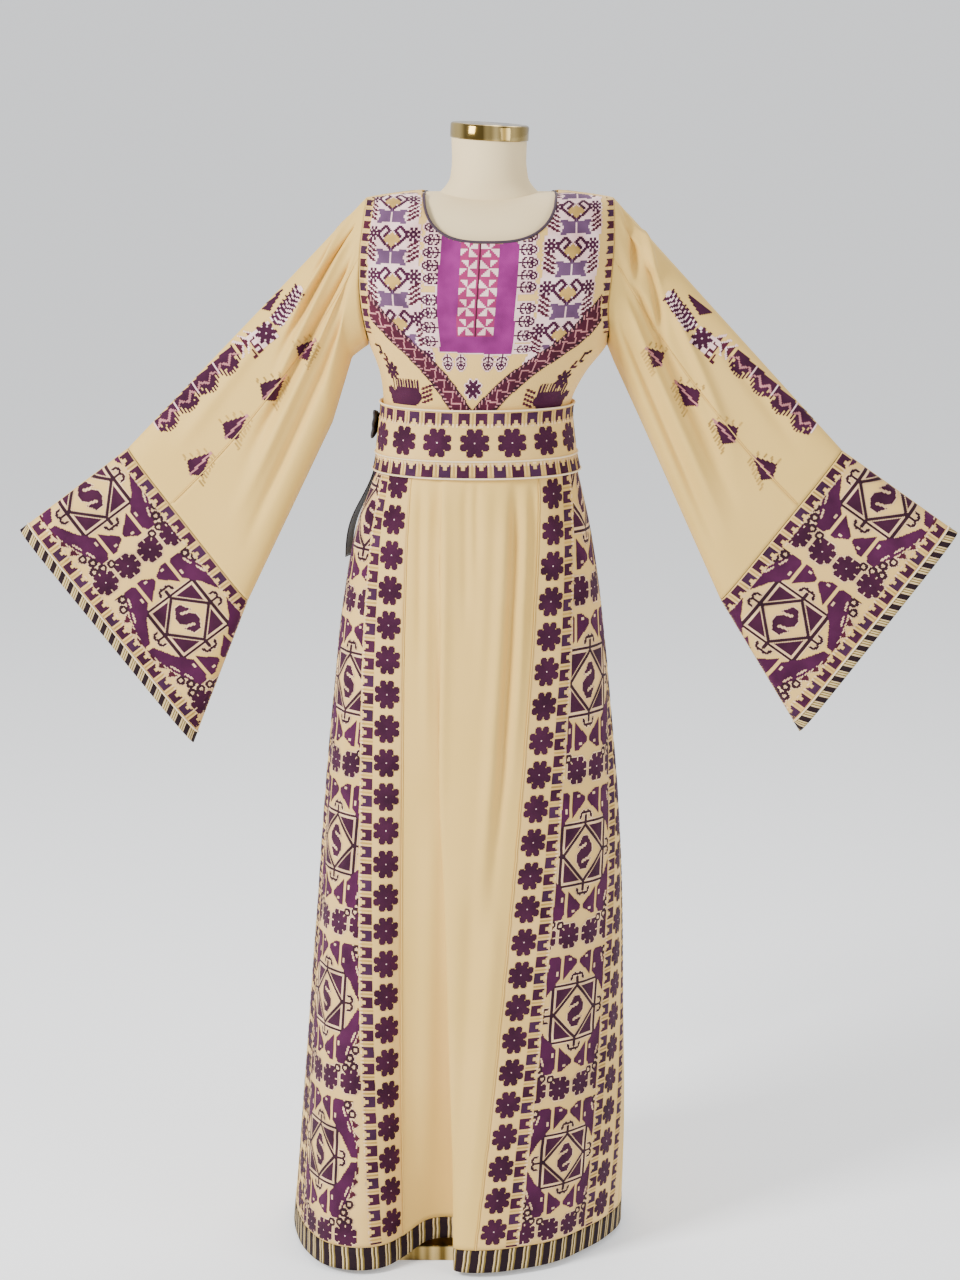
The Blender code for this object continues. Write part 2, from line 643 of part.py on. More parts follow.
def form_ring(turn, z, closing, air):
    """One ring of the form: the plain body drawn in by the wall and the air round it."""
    ring = body(turn, z, closing)
    centre = np.stack([lean(z), np.zeros_like(z), z], axis=-1)
    out = ring - centre
    far = np.linalg.norm(out[:, :2], axis=1, keepdims=True)
    air = air + HIP_AIR * ease((BELT_BOTTOM - z)[:, None] / 0.15)
    keep = np.clip((far - WALL - air) / far, 0.05, 1.0)
    narrow = 1.0 - FORM_NARROW * ease((z - NARROW_FROM) / NARROW_HIGH)[:, None]
    drawn = centre + out * keep
    drawn[:, :1] = centre[:, :1] + (drawn[:, :1] - centre[:, :1]) * narrow
    return drawn


def primitive(name, colour, place, tilt=0.0):
    thing = bpy.context.object
    thing.rotation_euler = (0.0, tilt, 0.0)
    thing.location = place
    move_to_collection(thing)
    return finish(thing, name, colour)


def build_neck_and_stand(torso):
    around = form_turns()
    rows = []
    for z, wide, deep in NECK:
        fall = math.tan(CAP_TILT * ease((z - NECK[-2][0]) / (NECK[-1][0] - NECK[-2][0])))
        x, y = wide * np.cos(around), deep * np.sin(around)
        rows.append(np.stack([NECK_X + x, NECK_Y + y, z - x * fall], axis=1))
    mesh = bmesh.new()
    rings = tube(mesh, rows)
    mesh.faces.new(rings[0][::-1])
    mesh.faces.new(rings[-1])
    neck = add_mesh("neck", "ivory", mesh)
    join = torso.modifiers.new("neck", "BOOLEAN")
    join.operation = "UNION"
    join.object = neck
    neck.hide_render = True
    neck.display_type = "WIRE"

    bpy.ops.mesh.primitive_cylinder_add(
        vertices=FORM_COLUMNS, radius=CAP_RADIUS, depth=CAP_HEIGHT
    )
    place = (NECK_X + 2 * SEAM, NECK_Y, NECK[-1][0] + SEAM + CAP_HEIGHT / 2)
    cap = primitive("neck_cap", "gold", place, CAP_TILT)
    bevel = cap.modifiers.new("rim", "BEVEL")
    bevel.width = 0.003
    bevel.segments = 2

    bpy.ops.mesh.primitive_cylinder_add(
        vertices=20, radius=POLE_RADIUS, depth=FORM_BOTTOM - BASE_THICK - 2 * SEAM
    )
    primitive("pole", "gold", (0.0, 0.0, (FORM_BOTTOM + BASE_THICK) / 2))

    bpy.ops.mesh.primitive_cube_add(size=1.0)
    base = bpy.context.object
    base.scale = (2 * BASE_HALF_X, BASE_FRONT + BASE_BACK, BASE_THICK)
    bpy.ops.object.transform_apply(location=False, rotation=False, scale=True)
    base = primitive("base_plate", "gold", (0.0, (BASE_BACK - BASE_FRONT) / 2, BASE_THICK / 2))
    bevel = base.modifiers.new("edges", "BEVEL")
    bevel.width = BASE_BEVEL
    bevel.segments = 2


def ribbon_loop(s, w, way):
    """Loop of the bow: s along it, there and back, w -1 to 1 across the ribbon."""
    swing = np.sin(math.pi * s)
    turn = RIBBON_TURN + way * (KNOT_HALF + LOOP_LENGTH * swing**0.8) / 0.13
    z = RIBBON_Z + w * (RIBBON_PINCH + (RIBBON_HALF - RIBBON_PINCH) * swing)
    out = RIBBON_OUT + LOOP_GAP * s + LOOP_BELLY * swing * (2 * s - 0.6)
    return off_body(turn, z, out - (BACK_LOOP_IN if way < 0 else 0.0))


def off_body(turn, z, out):
    """Points this far out from the plain body."""
    points = body(turn, z)
    away = np.stack([np.sin(turn), -np.cos(turn), np.zeros_like(z)], axis=-1)
    return points + away * out[..., None]


def ribbon_tail(s, w, way):
    """Tail of the bow: s down it, w -1 to 1 across the ribbon."""
    length = TAIL_LENGTHS[0 if way < 0 else 1]
    z = RIBBON_Z - 0.010 - length * s
    half = RIBBON_PINCH + (TAIL_HALF - RIBBON_PINCH) * ease(s * 3)
    swing = TAIL_SWINGS[0 if way < 0 else 1] * ease(s * 1.3)
    turn = RIBBON_TURN + way * 0.060 + swing + w * half / 0.15
    out = RIBBON_OUT + 0.0005 + 0.003 * np.sin(s * 9 + way) * s
    return off_body(turn, z, out + TAIL_CLEAR * ease((BELT_BOTTOM + 0.01 - z) / 0.1))


def build_ribbon():
    """Satin bow that ties the belt at its left end: a knot, two loops and two tails."""
    for way, where in ((1, "front"), (-1, "back")):

        def loop(s, w, way=way):
            return ribbon_loop(s, w, way)

        def tail(s, w, way=way):
            return ribbon_tail(s, w, way)

        a, b = np.meshgrid(np.linspace(0.02, 0.98, 15), np.array([-1.0, 0.0, 1.0]))
        wall(f"ribbon_loop_{where}", "satin", loop, a, b, 1, RIBBON_WALL)
        a, b = np.meshgrid(np.array([-1.0, 0.0, 1.0]), np.linspace(0.0, 1.0, 9))

        def down(w, s, tail=tail):
            return tail(s, w)

        wall(f"ribbon_tail_{where}", "satin", down, a, b, -1, RIBBON_WALL)
    place = off_body(np.array([RIBBON_TURN]), np.array([RIBBON_Z]), np.array([KNOT_OUT]))[0]
    bpy.ops.mesh.primitive_cube_add(size=1.0)
    knot = bpy.context.object
    knot.scale = KNOT_SIZE
    bpy.ops.object.transform_apply(location=False, rotation=False, scale=True)
    knot = primitive("ribbon_knot", "satin", place)
    knot.rotation_euler = (0.0, 0.0, RIBBON_TURN)
    bevel = knot.modifiers.new("soft", "BEVEL")
    bevel.width = 0.0035
    bevel.segments = 2


def main():
    for thing in list(bpy.data.objects):
        bpy.data.objects.remove(thing)
    build_skirt()
    build_bodice()
    build_neck_binding()
    for side in SLEEVES:
        build_sleeve(side)
    build_belt()
    torso = build_form()
    build_neck_and_stand(torso)
    build_ribbon()


main()
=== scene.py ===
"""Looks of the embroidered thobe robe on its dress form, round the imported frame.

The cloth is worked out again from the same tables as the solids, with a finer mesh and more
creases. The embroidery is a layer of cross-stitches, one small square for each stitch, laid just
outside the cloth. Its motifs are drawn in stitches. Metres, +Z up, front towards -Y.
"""

import math

import bpy
import numpy as np
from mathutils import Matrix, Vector
from mathutils.bvhtree import BVHTree


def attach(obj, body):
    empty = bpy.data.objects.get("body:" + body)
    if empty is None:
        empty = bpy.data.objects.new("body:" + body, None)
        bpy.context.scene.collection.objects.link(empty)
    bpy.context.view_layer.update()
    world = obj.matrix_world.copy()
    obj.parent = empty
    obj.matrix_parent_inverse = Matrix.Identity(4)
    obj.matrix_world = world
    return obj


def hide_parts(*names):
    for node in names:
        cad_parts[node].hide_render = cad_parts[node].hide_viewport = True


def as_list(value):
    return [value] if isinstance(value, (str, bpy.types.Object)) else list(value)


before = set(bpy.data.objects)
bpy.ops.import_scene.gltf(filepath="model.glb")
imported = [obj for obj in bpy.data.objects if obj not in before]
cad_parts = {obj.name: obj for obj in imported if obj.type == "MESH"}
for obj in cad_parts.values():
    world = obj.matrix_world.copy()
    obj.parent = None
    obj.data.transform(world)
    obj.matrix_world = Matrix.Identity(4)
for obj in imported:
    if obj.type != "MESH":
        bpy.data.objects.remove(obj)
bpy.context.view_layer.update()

# Sizes of the robe, as in the part
OUTWARD = {"left": -1, "right": 1}
# the body's height, half widths at the left and right, and half depths at the front and back
SECTIONS = (
    (0.010, 0.266, 0.207, 0.215, 0.205),
    (0.150, 0.254, 0.211, 0.198, 0.200),
    (0.330, 0.240, 0.209, 0.176, 0.192),
    (0.600, 0.219, 0.202, 0.152, 0.172),
    (0.770, 0.204, 0.188, 0.139, 0.157),
    (0.915, 0.188, 0.174, 0.128, 0.142),
    (1.030, 0.166, 0.156, 0.118, 0.124),
    (1.105, 0.140, 0.139, 0.108, 0.102),
    (1.150, 0.134, 0.131, 0.104, 0.096),
    (1.200, 0.131, 0.130, 0.107, 0.095),
    (1.240, 0.138, 0.148, 0.113, 0.097),
    (1.277, 0.154, 0.174, 0.118, 0.101),
    (1.335, 0.182, 0.183, 0.119, 0.104),
    (1.400, 0.190, 0.186, 0.115, 0.103),
    (1.480, 0.184, 0.184, 0.112, 0.101),
)
SQUARENESS = 2.2
LEAN, LEAN_FROM, LEAN_TO = 0.018, 1.15, 1.50
HEM_Z, WAIST_Z, UNDERARM_Z, SHOULDER_Z = 0.008, 1.150, 1.277, 1.489
SHOULDER_DROP, SHOULDER_WIDE, CHEST_ROUND = 0.13, 0.137, 3.2
ARMHOLE_IN, ARMHOLE_ROUND = 0.08, 0.35
NECK_HALF, NECK_DROP_FRONT, NECK_DROP_BACK = 0.415, 0.064, 0.016
BODICE_TOP, BODICE_EDGE = 1.9993, 0.9985
# folds of the hem: turn in degrees, x, y and z at the hem, how late they open, and tuck at the belt
FRONT_FOLDS = (
    (-90.0, -0.266, -0.005, 0.008, 1.0, 0.000),
    (-74.0, -0.259, -0.075, 0.008, 1.0, 0.001),
    (-61.0, -0.243, -0.142, 0.008, 1.1, -0.001),
    (-51.0, -0.214, -0.198, 0.008, 1.3, 0.001),
    (-43.0, -0.172, -0.221, 0.008, 1.4, -0.001),
    (-36.0, -0.133, -0.211, 0.008, 1.5, 0.001),
    (-30.0, -0.103, -0.180, 0.012, 1.9, 0.000),
    (-25.5, -0.072, -0.162, 0.028, 2.2, -0.002),
    (-22.0, -0.040, -0.156, 0.031, 2.4, -0.004),
    (-20.0, -0.015, -0.164, 0.029, 2.4, -0.003),
    (-18.6, -0.017, -0.190, 0.017, 2.2, 0.002),
    (-17.0, -0.033, -0.216, 0.008, 1.7, 0.004),
    (-12.0, -0.016, -0.230, 0.008, 1.4, 0.001),
    (0.0, 0.022, -0.229, 0.008, 1.0, 0.000),
    (14.0, 0.055, -0.218, 0.008, 1.0, -0.001),
    (27.0, 0.088, -0.203, 0.008, 1.0, -0.003),
    (40.0, 0.118, -0.181, 0.008, 1.0, 0.002),
    (54.0, 0.150, -0.143, 0.008, 1.0, -0.001),
    (70.0, 0.182, -0.096, 0.008, 1.0, 0.001),
    (90.0, 0.207, -0.030, 0.008, 1.0, 0.000),
)
# turn in degrees, how far outside the body's outline at the hem, and tuck
BACK_FOLDS = (
    (107.0, 0.006, 0.001),
    (121.0, -0.010, -0.002),
    (135.0, 0.012, 0.002),
    (149.0, -0.020, -0.003),
    (164.0, 0.014, 0.002),
    (180.0, -0.022, -0.003),
    (196.0, 0.016, 0.003),
    (211.0, -0.018, -0.002),
    (226.0, 0.012, 0.002),
    (239.0, -0.008, -0.001),
    (253.0, 0.006, 0.001),
)
TUCK_LENGTH, UNDER_BELT, TUCK_RISE = 0.30, 0.25, 0.04
# height, and x of the left and the right seam
FRONT_SEAMS = (
    (0.008, -0.103, -0.006),
    (0.150, -0.105, 0.011),
    (0.400, -0.106, 0.037),
    (0.700, -0.103, 0.064),
    (0.900, -0.100, 0.078),
    (1.080, -0.092, 0.085),
    (1.150, -0.086, 0.083),
)
FRONT_Y = -0.05
SIDE_PANEL, SIDE_PANEL_WAIST, SIDE_TAPER_Z = 0.284, 0.222, 0.93
BELT_BOTTOM, BELT_TOP, BELT_OUT = 1.104, 1.198, 0.0044
HEM_BAND, BINDING, CUFF = 0.031, 0.014, 0.172
# x and z of the cuff seam's upper and lower end, then of the open edge's
SLEEVES = {
    "left": ((-0.486, 1.132), (-0.322, 0.916), (-0.628, 1.025), (-0.396, 0.727)),
    "right": ((0.508, 1.129), (0.342, 0.917), (0.660, 1.021), (0.448, 0.742)),
}
SLEEVE_HALF_SEAM, SLEEVE_HALF_EDGE = 0.020, 0.017
GUSSET_ARM, GUSSET_CUFF = 0.70, 0.385
SLEEVE_FULL, FULL_FROM, FULL_TO = 0.020, 0.05, 0.30
SLEEVE_START, SLEEVE_GATHERS, GATHER_DEPTH, GATHER_LENGTH = 0.0018, 7, 0.0035, 0.30
RIBBON_TURN, RIBBON_Z, RIBBON_OUT = math.radians(-112.0), 1.166, BELT_OUT + 0.0017
BACK_LOOP_IN = 0.0008
RIBBON_HALF, RIBBON_PINCH, TAIL_HALF = 0.020, 0.007, 0.012
TAIL_SWINGS = (-0.16, 0.0)
LOOP_LENGTH, LOOP_GAP, LOOP_BELLY = 0.046, 0.0050, 0.0070
KNOT_HALF, TAIL_LENGTHS, TAIL_CLEAR = 0.0085, (0.150, 0.185), 0.0065
FORM_AIR, HIP_AIR, SHOULDER_AIR, FORM_BOTTOM = 0.0050, 0.010, 0.0004, 0.800
FORM_NARROW, NARROW_FROM, NARROW_HIGH = 0.10, 1.18, 0.14
# height, half width and half depth
NECK = (
    (1.430, 0.074, 0.046),
    (1.474, 0.076, 0.046),
    (1.483, 0.071, 0.0462),
    (1.492, 0.062, 0.0470),
    (1.502, 0.055, 0.0490),
    (1.516, 0.052, 0.0510),
    (1.558, 0.0515, 0.0515),
)
NECK_X, NECK_Y, CAP_TILT = 0.0165, -0.006, math.radians(3.2)
CAP_RADIUS, CAP_HEIGHT = 0.054, 0.021

WALL, TRIM_WALL, SEAM = 0.0016, 0.0024, 0.0003
STITCH_UP = 0.00045  # the stitches lie this far out from the cloth

# Thread and ground colours, in linear light, by the code of a stitch in a chart
PURPLE, WINE, INDIGO, MAGENTA, DARK, BEIGE, PINK, OCHRE, SLATE, BLUSH, PLUM, ROSE, CERISE = range(1, 14)
THREADS = {
    PURPLE: ("thread purple", (0.040, 0.0028, 0.022)),
    WINE: ("thread wine", (0.056, 0.004, 0.017)),
    INDIGO: ("thread indigo", (0.105, 0.048, 0.105)),
    MAGENTA: ("thread magenta", (0.205, 0.015, 0.140)),
    DARK: ("thread dark", (0.026, 0.004, 0.012)),
    BEIGE: ("thread beige", (0.640, 0.410, 0.120)),
    PINK: ("thread pink", (0.950, 0.545, 0.520)),
    OCHRE: ("thread ochre", (0.480, 0.290, 0.070)),
    SLATE: ("thread slate", (0.040, 0.008, 0.034)),
    BLUSH: ("thread blush", (0.790, 0.500, 0.270)),
    PLUM: ("thread plum", (0.058, 0.004, 0.036)),
    ROSE: ("thread rose", (0.440, 0.170, 0.170)),
    CERISE: ("thread cerise", (0.290, 0.022, 0.105)),
}


def smooth_curve(at, knots, values):
    """Values at any place along the knots, on a smooth curve through them."""
    knots = np.asarray(knots, float)
    values = np.asarray(values, float)
    at = np.clip(np.asarray(at, float), knots[0], knots[-1])
    slopes = np.gradient(values, knots, axis=0)
    i = np.clip(np.searchsorted(knots, at, side="right") - 1, 0, len(knots) - 2)
    step = knots[i + 1] - knots[i]
    t = (at - knots[i]) / step
    if values.ndim > 1:
        step, t = step[..., None], t[..., None]
    return (
        (1 + 2 * t) * (1 - t) ** 2 * values[i]
        + t * (1 - t) ** 2 * step * slopes[i]
        + t * t * (3 - 2 * t) * values[i + 1]
        - t * t * (1 - t) * step * slopes[i + 1]
    )


def ease(t):
    t = np.clip(t, 0.0, 1.0)
    return t * t * (3 - 2 * t)


def distances(path):
    """Distance along a path of points, from its first one to each."""
    steps = np.linalg.norm(np.diff(path, axis=0), axis=1)
    return np.concatenate([[0.0], np.cumsum(steps)])


def signed_power(value, power):
    return np.sign(value) * np.abs(value) ** power


def lean(z):
    return LEAN * ease((z - LEAN_FROM) / (LEAN_TO - LEAN_FROM))


def halves(z):
    """Half widths and depths of the body at z: left, right, front, back."""
    rows = np.array(SECTIONS)
    return np.moveaxis(smooth_curve(z, rows[:, 0], rows[:, 1:]), -1, 0)


def body(turn, z, closing=1.0):
    left, right, front, back = halves(z)
    s, c = np.sin(turn), np.cos(turn)
    x = lean(z) + np.where(s > 0, right, left) * signed_power(s, 2 / SQUARENESS)
    y = -np.where(c > 0, front, back) * closing * signed_power(c, 2 / SQUARENESS)
    return np.stack(np.broadcast_arrays(x, y, z), axis=-1)


# Skirt

FOLDS_BEFORE, FOLDS_AFTER = 3, 4  # rows repeated at each end of the table, so that it closes
RING_SAMPLES = 1400


def fold_rows():
    rows = [list(row) for row in FRONT_FOLDS]
    for turn, out, tuck in BACK_FOLDS:
        x, y, _ = body(math.radians(turn), np.array(HEM_Z))
        far = math.hypot(x, y)
        rows.append([turn, x * (1 + out / far), y * (1 + out / far), HEM_Z, 1.0, tuck])
    before = [[row[0] - 360.0] + row[1:] for row in rows[-FOLDS_BEFORE:]]
    after = [[row[0] + 360.0] + row[1:] for row in rows[:FOLDS_AFTER]]
    return np.array(before + rows + after), len(rows)


FOLDS, FOLD_COUNT = fold_rows()


def skirt(fold, v):
    """Skirt surface: fold counts along the table of folds, v runs from 0 at the waist to 1."""
    fold, v = np.broadcast_arrays(np.mod(fold, FOLD_COUNT), v)
    knots = np.arange(len(FOLDS)) - float(FOLDS_BEFORE)
    turn, hem_x, hem_y, hem_z, deep, tuck = np.moveaxis(smooth_curve(fold, knots, FOLDS), -1, 0)
    turn = np.radians(turn)
    z = WAIST_Z + (hem_z - WAIST_Z) * v
    plain = body(turn, z)
    plain_hem = body(turn, hem_z)
    below = np.maximum(BELT_BOTTOM - z, 0.0)
    free = below / (BELT_BOTTOM - hem_z)
    out = tuck * (UNDER_BELT + (1 - UNDER_BELT) * ease(below / TUCK_RISE))
    out = out * np.exp(-((below / TUCK_LENGTH) ** 2))
    x = plain[..., 0] + free * (hem_x - plain_hem[..., 0]) + out * np.sin(turn)
    y = plain[..., 1] + free**deep * (hem_y - plain_hem[..., 1]) - out * np.cos(turn)
    return np.stack([x, y, z], axis=-1)


def skirt_ring(v):
    fold = np.linspace(0.0, FOLD_COUNT, RING_SAMPLES)
    points = skirt(fold, v)
    return fold, points, distances(points)


def skirt_seams(v, ring):
    """Distances round the skirt of its four seams at v, the left back one first."""
    _, points, along = ring
    rows = np.array(FRONT_SEAMS)
    z = WAIST_Z + (HEM_Z - WAIST_Z) * v
    left_x, right_x = smooth_curve(z, rows[:, 0], rows[:, 1:])
    front = points[:, 1] < FRONT_Y
    left = along[np.argmax(front & (points[:, 0] > left_x))]
    right = along[len(along) - 1 - np.argmax((front & (points[:, 0] < right_x))[::-1])]
    narrow = ease((z - SIDE_TAPER_Z) / (WAIST_Z - SIDE_TAPER_Z))
    width = SIDE_PANEL + (SIDE_PANEL_WAIST - SIDE_PANEL) * narrow
    return [left - width, left, right, right + width, left - width + along[-1]]


def on_ring(ring, v, here):
    """Points of the skirt at distances round its ring at v."""
    fold, _, along = ring
    return skirt(np.interp(np.mod(here, along[-1]), along, fold), v)


def skirt_panel(first, columns, levels):
    """Points over one panel of the skirt, from its first seam on, and its width at each row."""
    points, widths = [], []
    for v in levels:
        ring = skirt_ring(v)
        start, end = skirt_seams(v, ring)[first : first + 2]
        points.append(on_ring(ring, v, np.linspace(start + SEAM / 2, end - SEAM / 2, columns + 1)))
        widths.append(end - start)
    return np.array(points), np.array(widths)


# Bodice

NECK_SQUARE = 2.6
INSIDE_ARMHOLE, INSIDE_NECK = 0.996, 0.997  # shares at which the stitches end before an edge
CHEST_SAMPLES, COLUMN_SHARE, CHEST_LEVEL = 300, 0.55, 1.335  # where the cloth's lengths are taken


def armhole_turn(z):
    up = np.clip((z - UNDERARM_Z) / (SHOULDER_Z - UNDERARM_Z) / ARMHOLE_ROUND, 0.0, 1.0)
    reach = 1.0 - ARMHOLE_IN * np.sin(up * math.pi / 2)
    return np.arcsin(np.clip(reach, 0.0, 1.0) ** (SQUARENESS / 2))


def neck_top(share, drop):
    inside = np.clip(np.abs(share) / NECK_HALF, 0.0, 1.0)
    beside = np.clip(np.abs(share) - NECK_HALF, 0.0, 1.0)
    ridge = SHOULDER_Z - SHOULDER_DROP * SHOULDER_WIDE * beside
    return ridge - drop * (1 - inside**NECK_SQUARE) ** 0.5


def bodice(share, v, back, drop):
    """Bodice surface: share -1 to 1 across, v from 0 at the waist to 1 at the underarm and 2
    at the shoulder or the neckline."""
    share, v = np.broadcast_arrays(share, v)
    top = neck_top(share, 0.0)
    reach = np.clip((neck_top(share, drop) - UNDERARM_Z) / (top - UNDERARM_Z), 0.0, 1.0)
    angle = np.clip(v - 1.0, 0.0, 1.0) * np.arcsin(reach ** (CHEST_ROUND / 2))
    up = np.sin(angle) ** (2 / CHEST_ROUND)
    closing = np.cos(angle) ** (2 / CHEST_ROUND)
    z = np.where(v < 1.0, WAIST_Z + (UNDERARM_Z - WAIST_Z) * v, UNDERARM_Z + (top - UNDERARM_Z) * up)
    turn = share * armhole_turn(z)
    return body(np.where(back, math.pi - turn, turn), z, closing)


def front_bodice(share, v):
    return bodice(share, v, False, NECK_DROP_FRONT)


def back_bodice(share, v):
    return bodice(share, v, True, NECK_DROP_BACK)


def chest(s, w, back):
    """Point of the bodice s round from its centre line and w up from the waist, and whether
    there is cloth."""
    z = np.interp(w, CHEST_UP, CHEST_Z)
    reach = np.clip(np.interp(np.abs(s), CHEST_S, CHEST_SIN), 0.0, 1.0)
    turn = np.sign(s) * np.arcsin(reach ** (SQUARENESS / 2))
    share = turn / armhole_turn(z)
    drop = NECK_DROP_BACK if back else NECK_DROP_FRONT
    top = neck_top(share, 0.0)
    up = np.clip((z - UNDERARM_Z) / (top - UNDERARM_Z), 0.0, 1.0)
    limit = (neck_top(share, drop) - UNDERARM_Z) / (top - UNDERARM_Z)
    angle = np.arcsin(up ** (CHEST_ROUND / 2))
    closing = np.cos(angle) ** (2 / CHEST_ROUND)
    points = body(np.where(back, math.pi - turn, turn), z, closing)
    return points, (np.abs(share) < INSIDE_ARMHOLE) & (up < limit * INSIDE_NECK)


def chest_tables():
    """Tables from distance on the cloth to height, and to the sine-like share across."""
    v = np.linspace(0.0, 2.0, CHEST_SAMPLES)
    column = front_bodice(np.full(CHEST_SAMPLES, COLUMN_SHARE), v)
    turn = np.linspace(0.0, math.pi / 2, CHEST_SAMPLES)
    ring = body(turn, np.full(CHEST_SAMPLES, CHEST_LEVEL))
    return distances(column), column[:, 2], distances(ring), np.sin(turn) ** (2 / SQUARENESS)


CHEST_UP, CHEST_Z, CHEST_S, CHEST_SIN = chest_tables()


def chest_place(x, z):
    """The distances s and w on the bodice's cloth of a place seen from the front."""
    left, right, _, _ = halves(np.array(z))
    off = x - lean(z)
    share = abs(off) / (right if off > 0 else left)
    s = np.interp(share, CHEST_SIN, CHEST_S) * (1 if off > 0 else -1)
    return float(s), float(np.interp(z, CHEST_Z, CHEST_UP))


# Sleeves


RING_SLOW, RING_SQUARE = 0.45, 6  # how slowly a ring turns at its ends, and how square it is there
FULL_BELOW = 0.70  # share of the ring below which the left sleeve is fuller
GATHER_RISE, GATHER_ASIDE = 12, 0.35


def armhole(side, q):
    share = np.full(q.shape, float(OUTWARD[side]))
    v = 2.0 - np.abs(q)
    return np.where((q >= 0)[..., None], front_bodice(share, v), back_bodice(share, v))


def ring_share(q):
    """How far down its flattened ring q lies, 0 to 1."""
    return RING_SLOW * (1 - np.cos(math.pi * np.abs(q))) / 2 + (1 - RING_SLOW) * np.abs(q)


def wing_ring(top, bottom, half, q):
    along = ring_share(q)
    round_end = np.sqrt(np.clip(1 - (2 * along - 1) ** RING_SQUARE, 0.0, 1.0))
    x = top[0] + (bottom[0] - top[0]) * along
    z = top[1] + (bottom[1] - top[1]) * along
    return np.stack([x, -np.sign(q) * half * round_end, z], axis=-1)


def sleeve(side, q, v):
    """Sleeve surface: v from 0 at the armhole to 1 at the cuff's seam, 2 at its open edge."""
    q, v = np.broadcast_arrays(q, v)
    seam_top, seam_bottom, edge_top, edge_bottom = SLEEVES[side]
    arm = armhole(side, q)
    seam = wing_ring(seam_top, seam_bottom, SLEEVE_HALF_SEAM, q)
    edge = wing_ring(edge_top, edge_bottom, SLEEVE_HALF_EDGE, q)
    first = np.clip(v, 0.0, 1.0)[..., None]
    second = np.maximum(v - 1.0, 0.0)[..., None]
    points = arm + (seam - arm) * first + (edge - seam) * second
    fade = np.clip(1 - first / GATHER_LENGTH, 0.0, 1.0) * ease(first * GATHER_RISE)
    ripple = np.cos(q * math.pi * SLEEVE_GATHERS)[..., None] * fade * GATHER_DEPTH
    full = ease((ring_share(q) - FULL_BELOW) / (1 - FULL_BELOW)) * np.clip(v / FULL_FROM, 0.0, 1.0)
    full = full * np.clip(1 - v / FULL_TO, 0.0, 1.0) * (SLEEVE_FULL if side == "left" else 0.0)
    points = points + full[..., None] * np.array([OUTWARD[side], 0.0, 0.0])
    return points + ripple * np.sign(-q)[..., None] * np.array([GATHER_ASIDE * OUTWARD[side], 1.0, 0.0])


def gusset_share(v):
    return GUSSET_ARM + (GUSSET_CUFF - GUSSET_ARM) * v
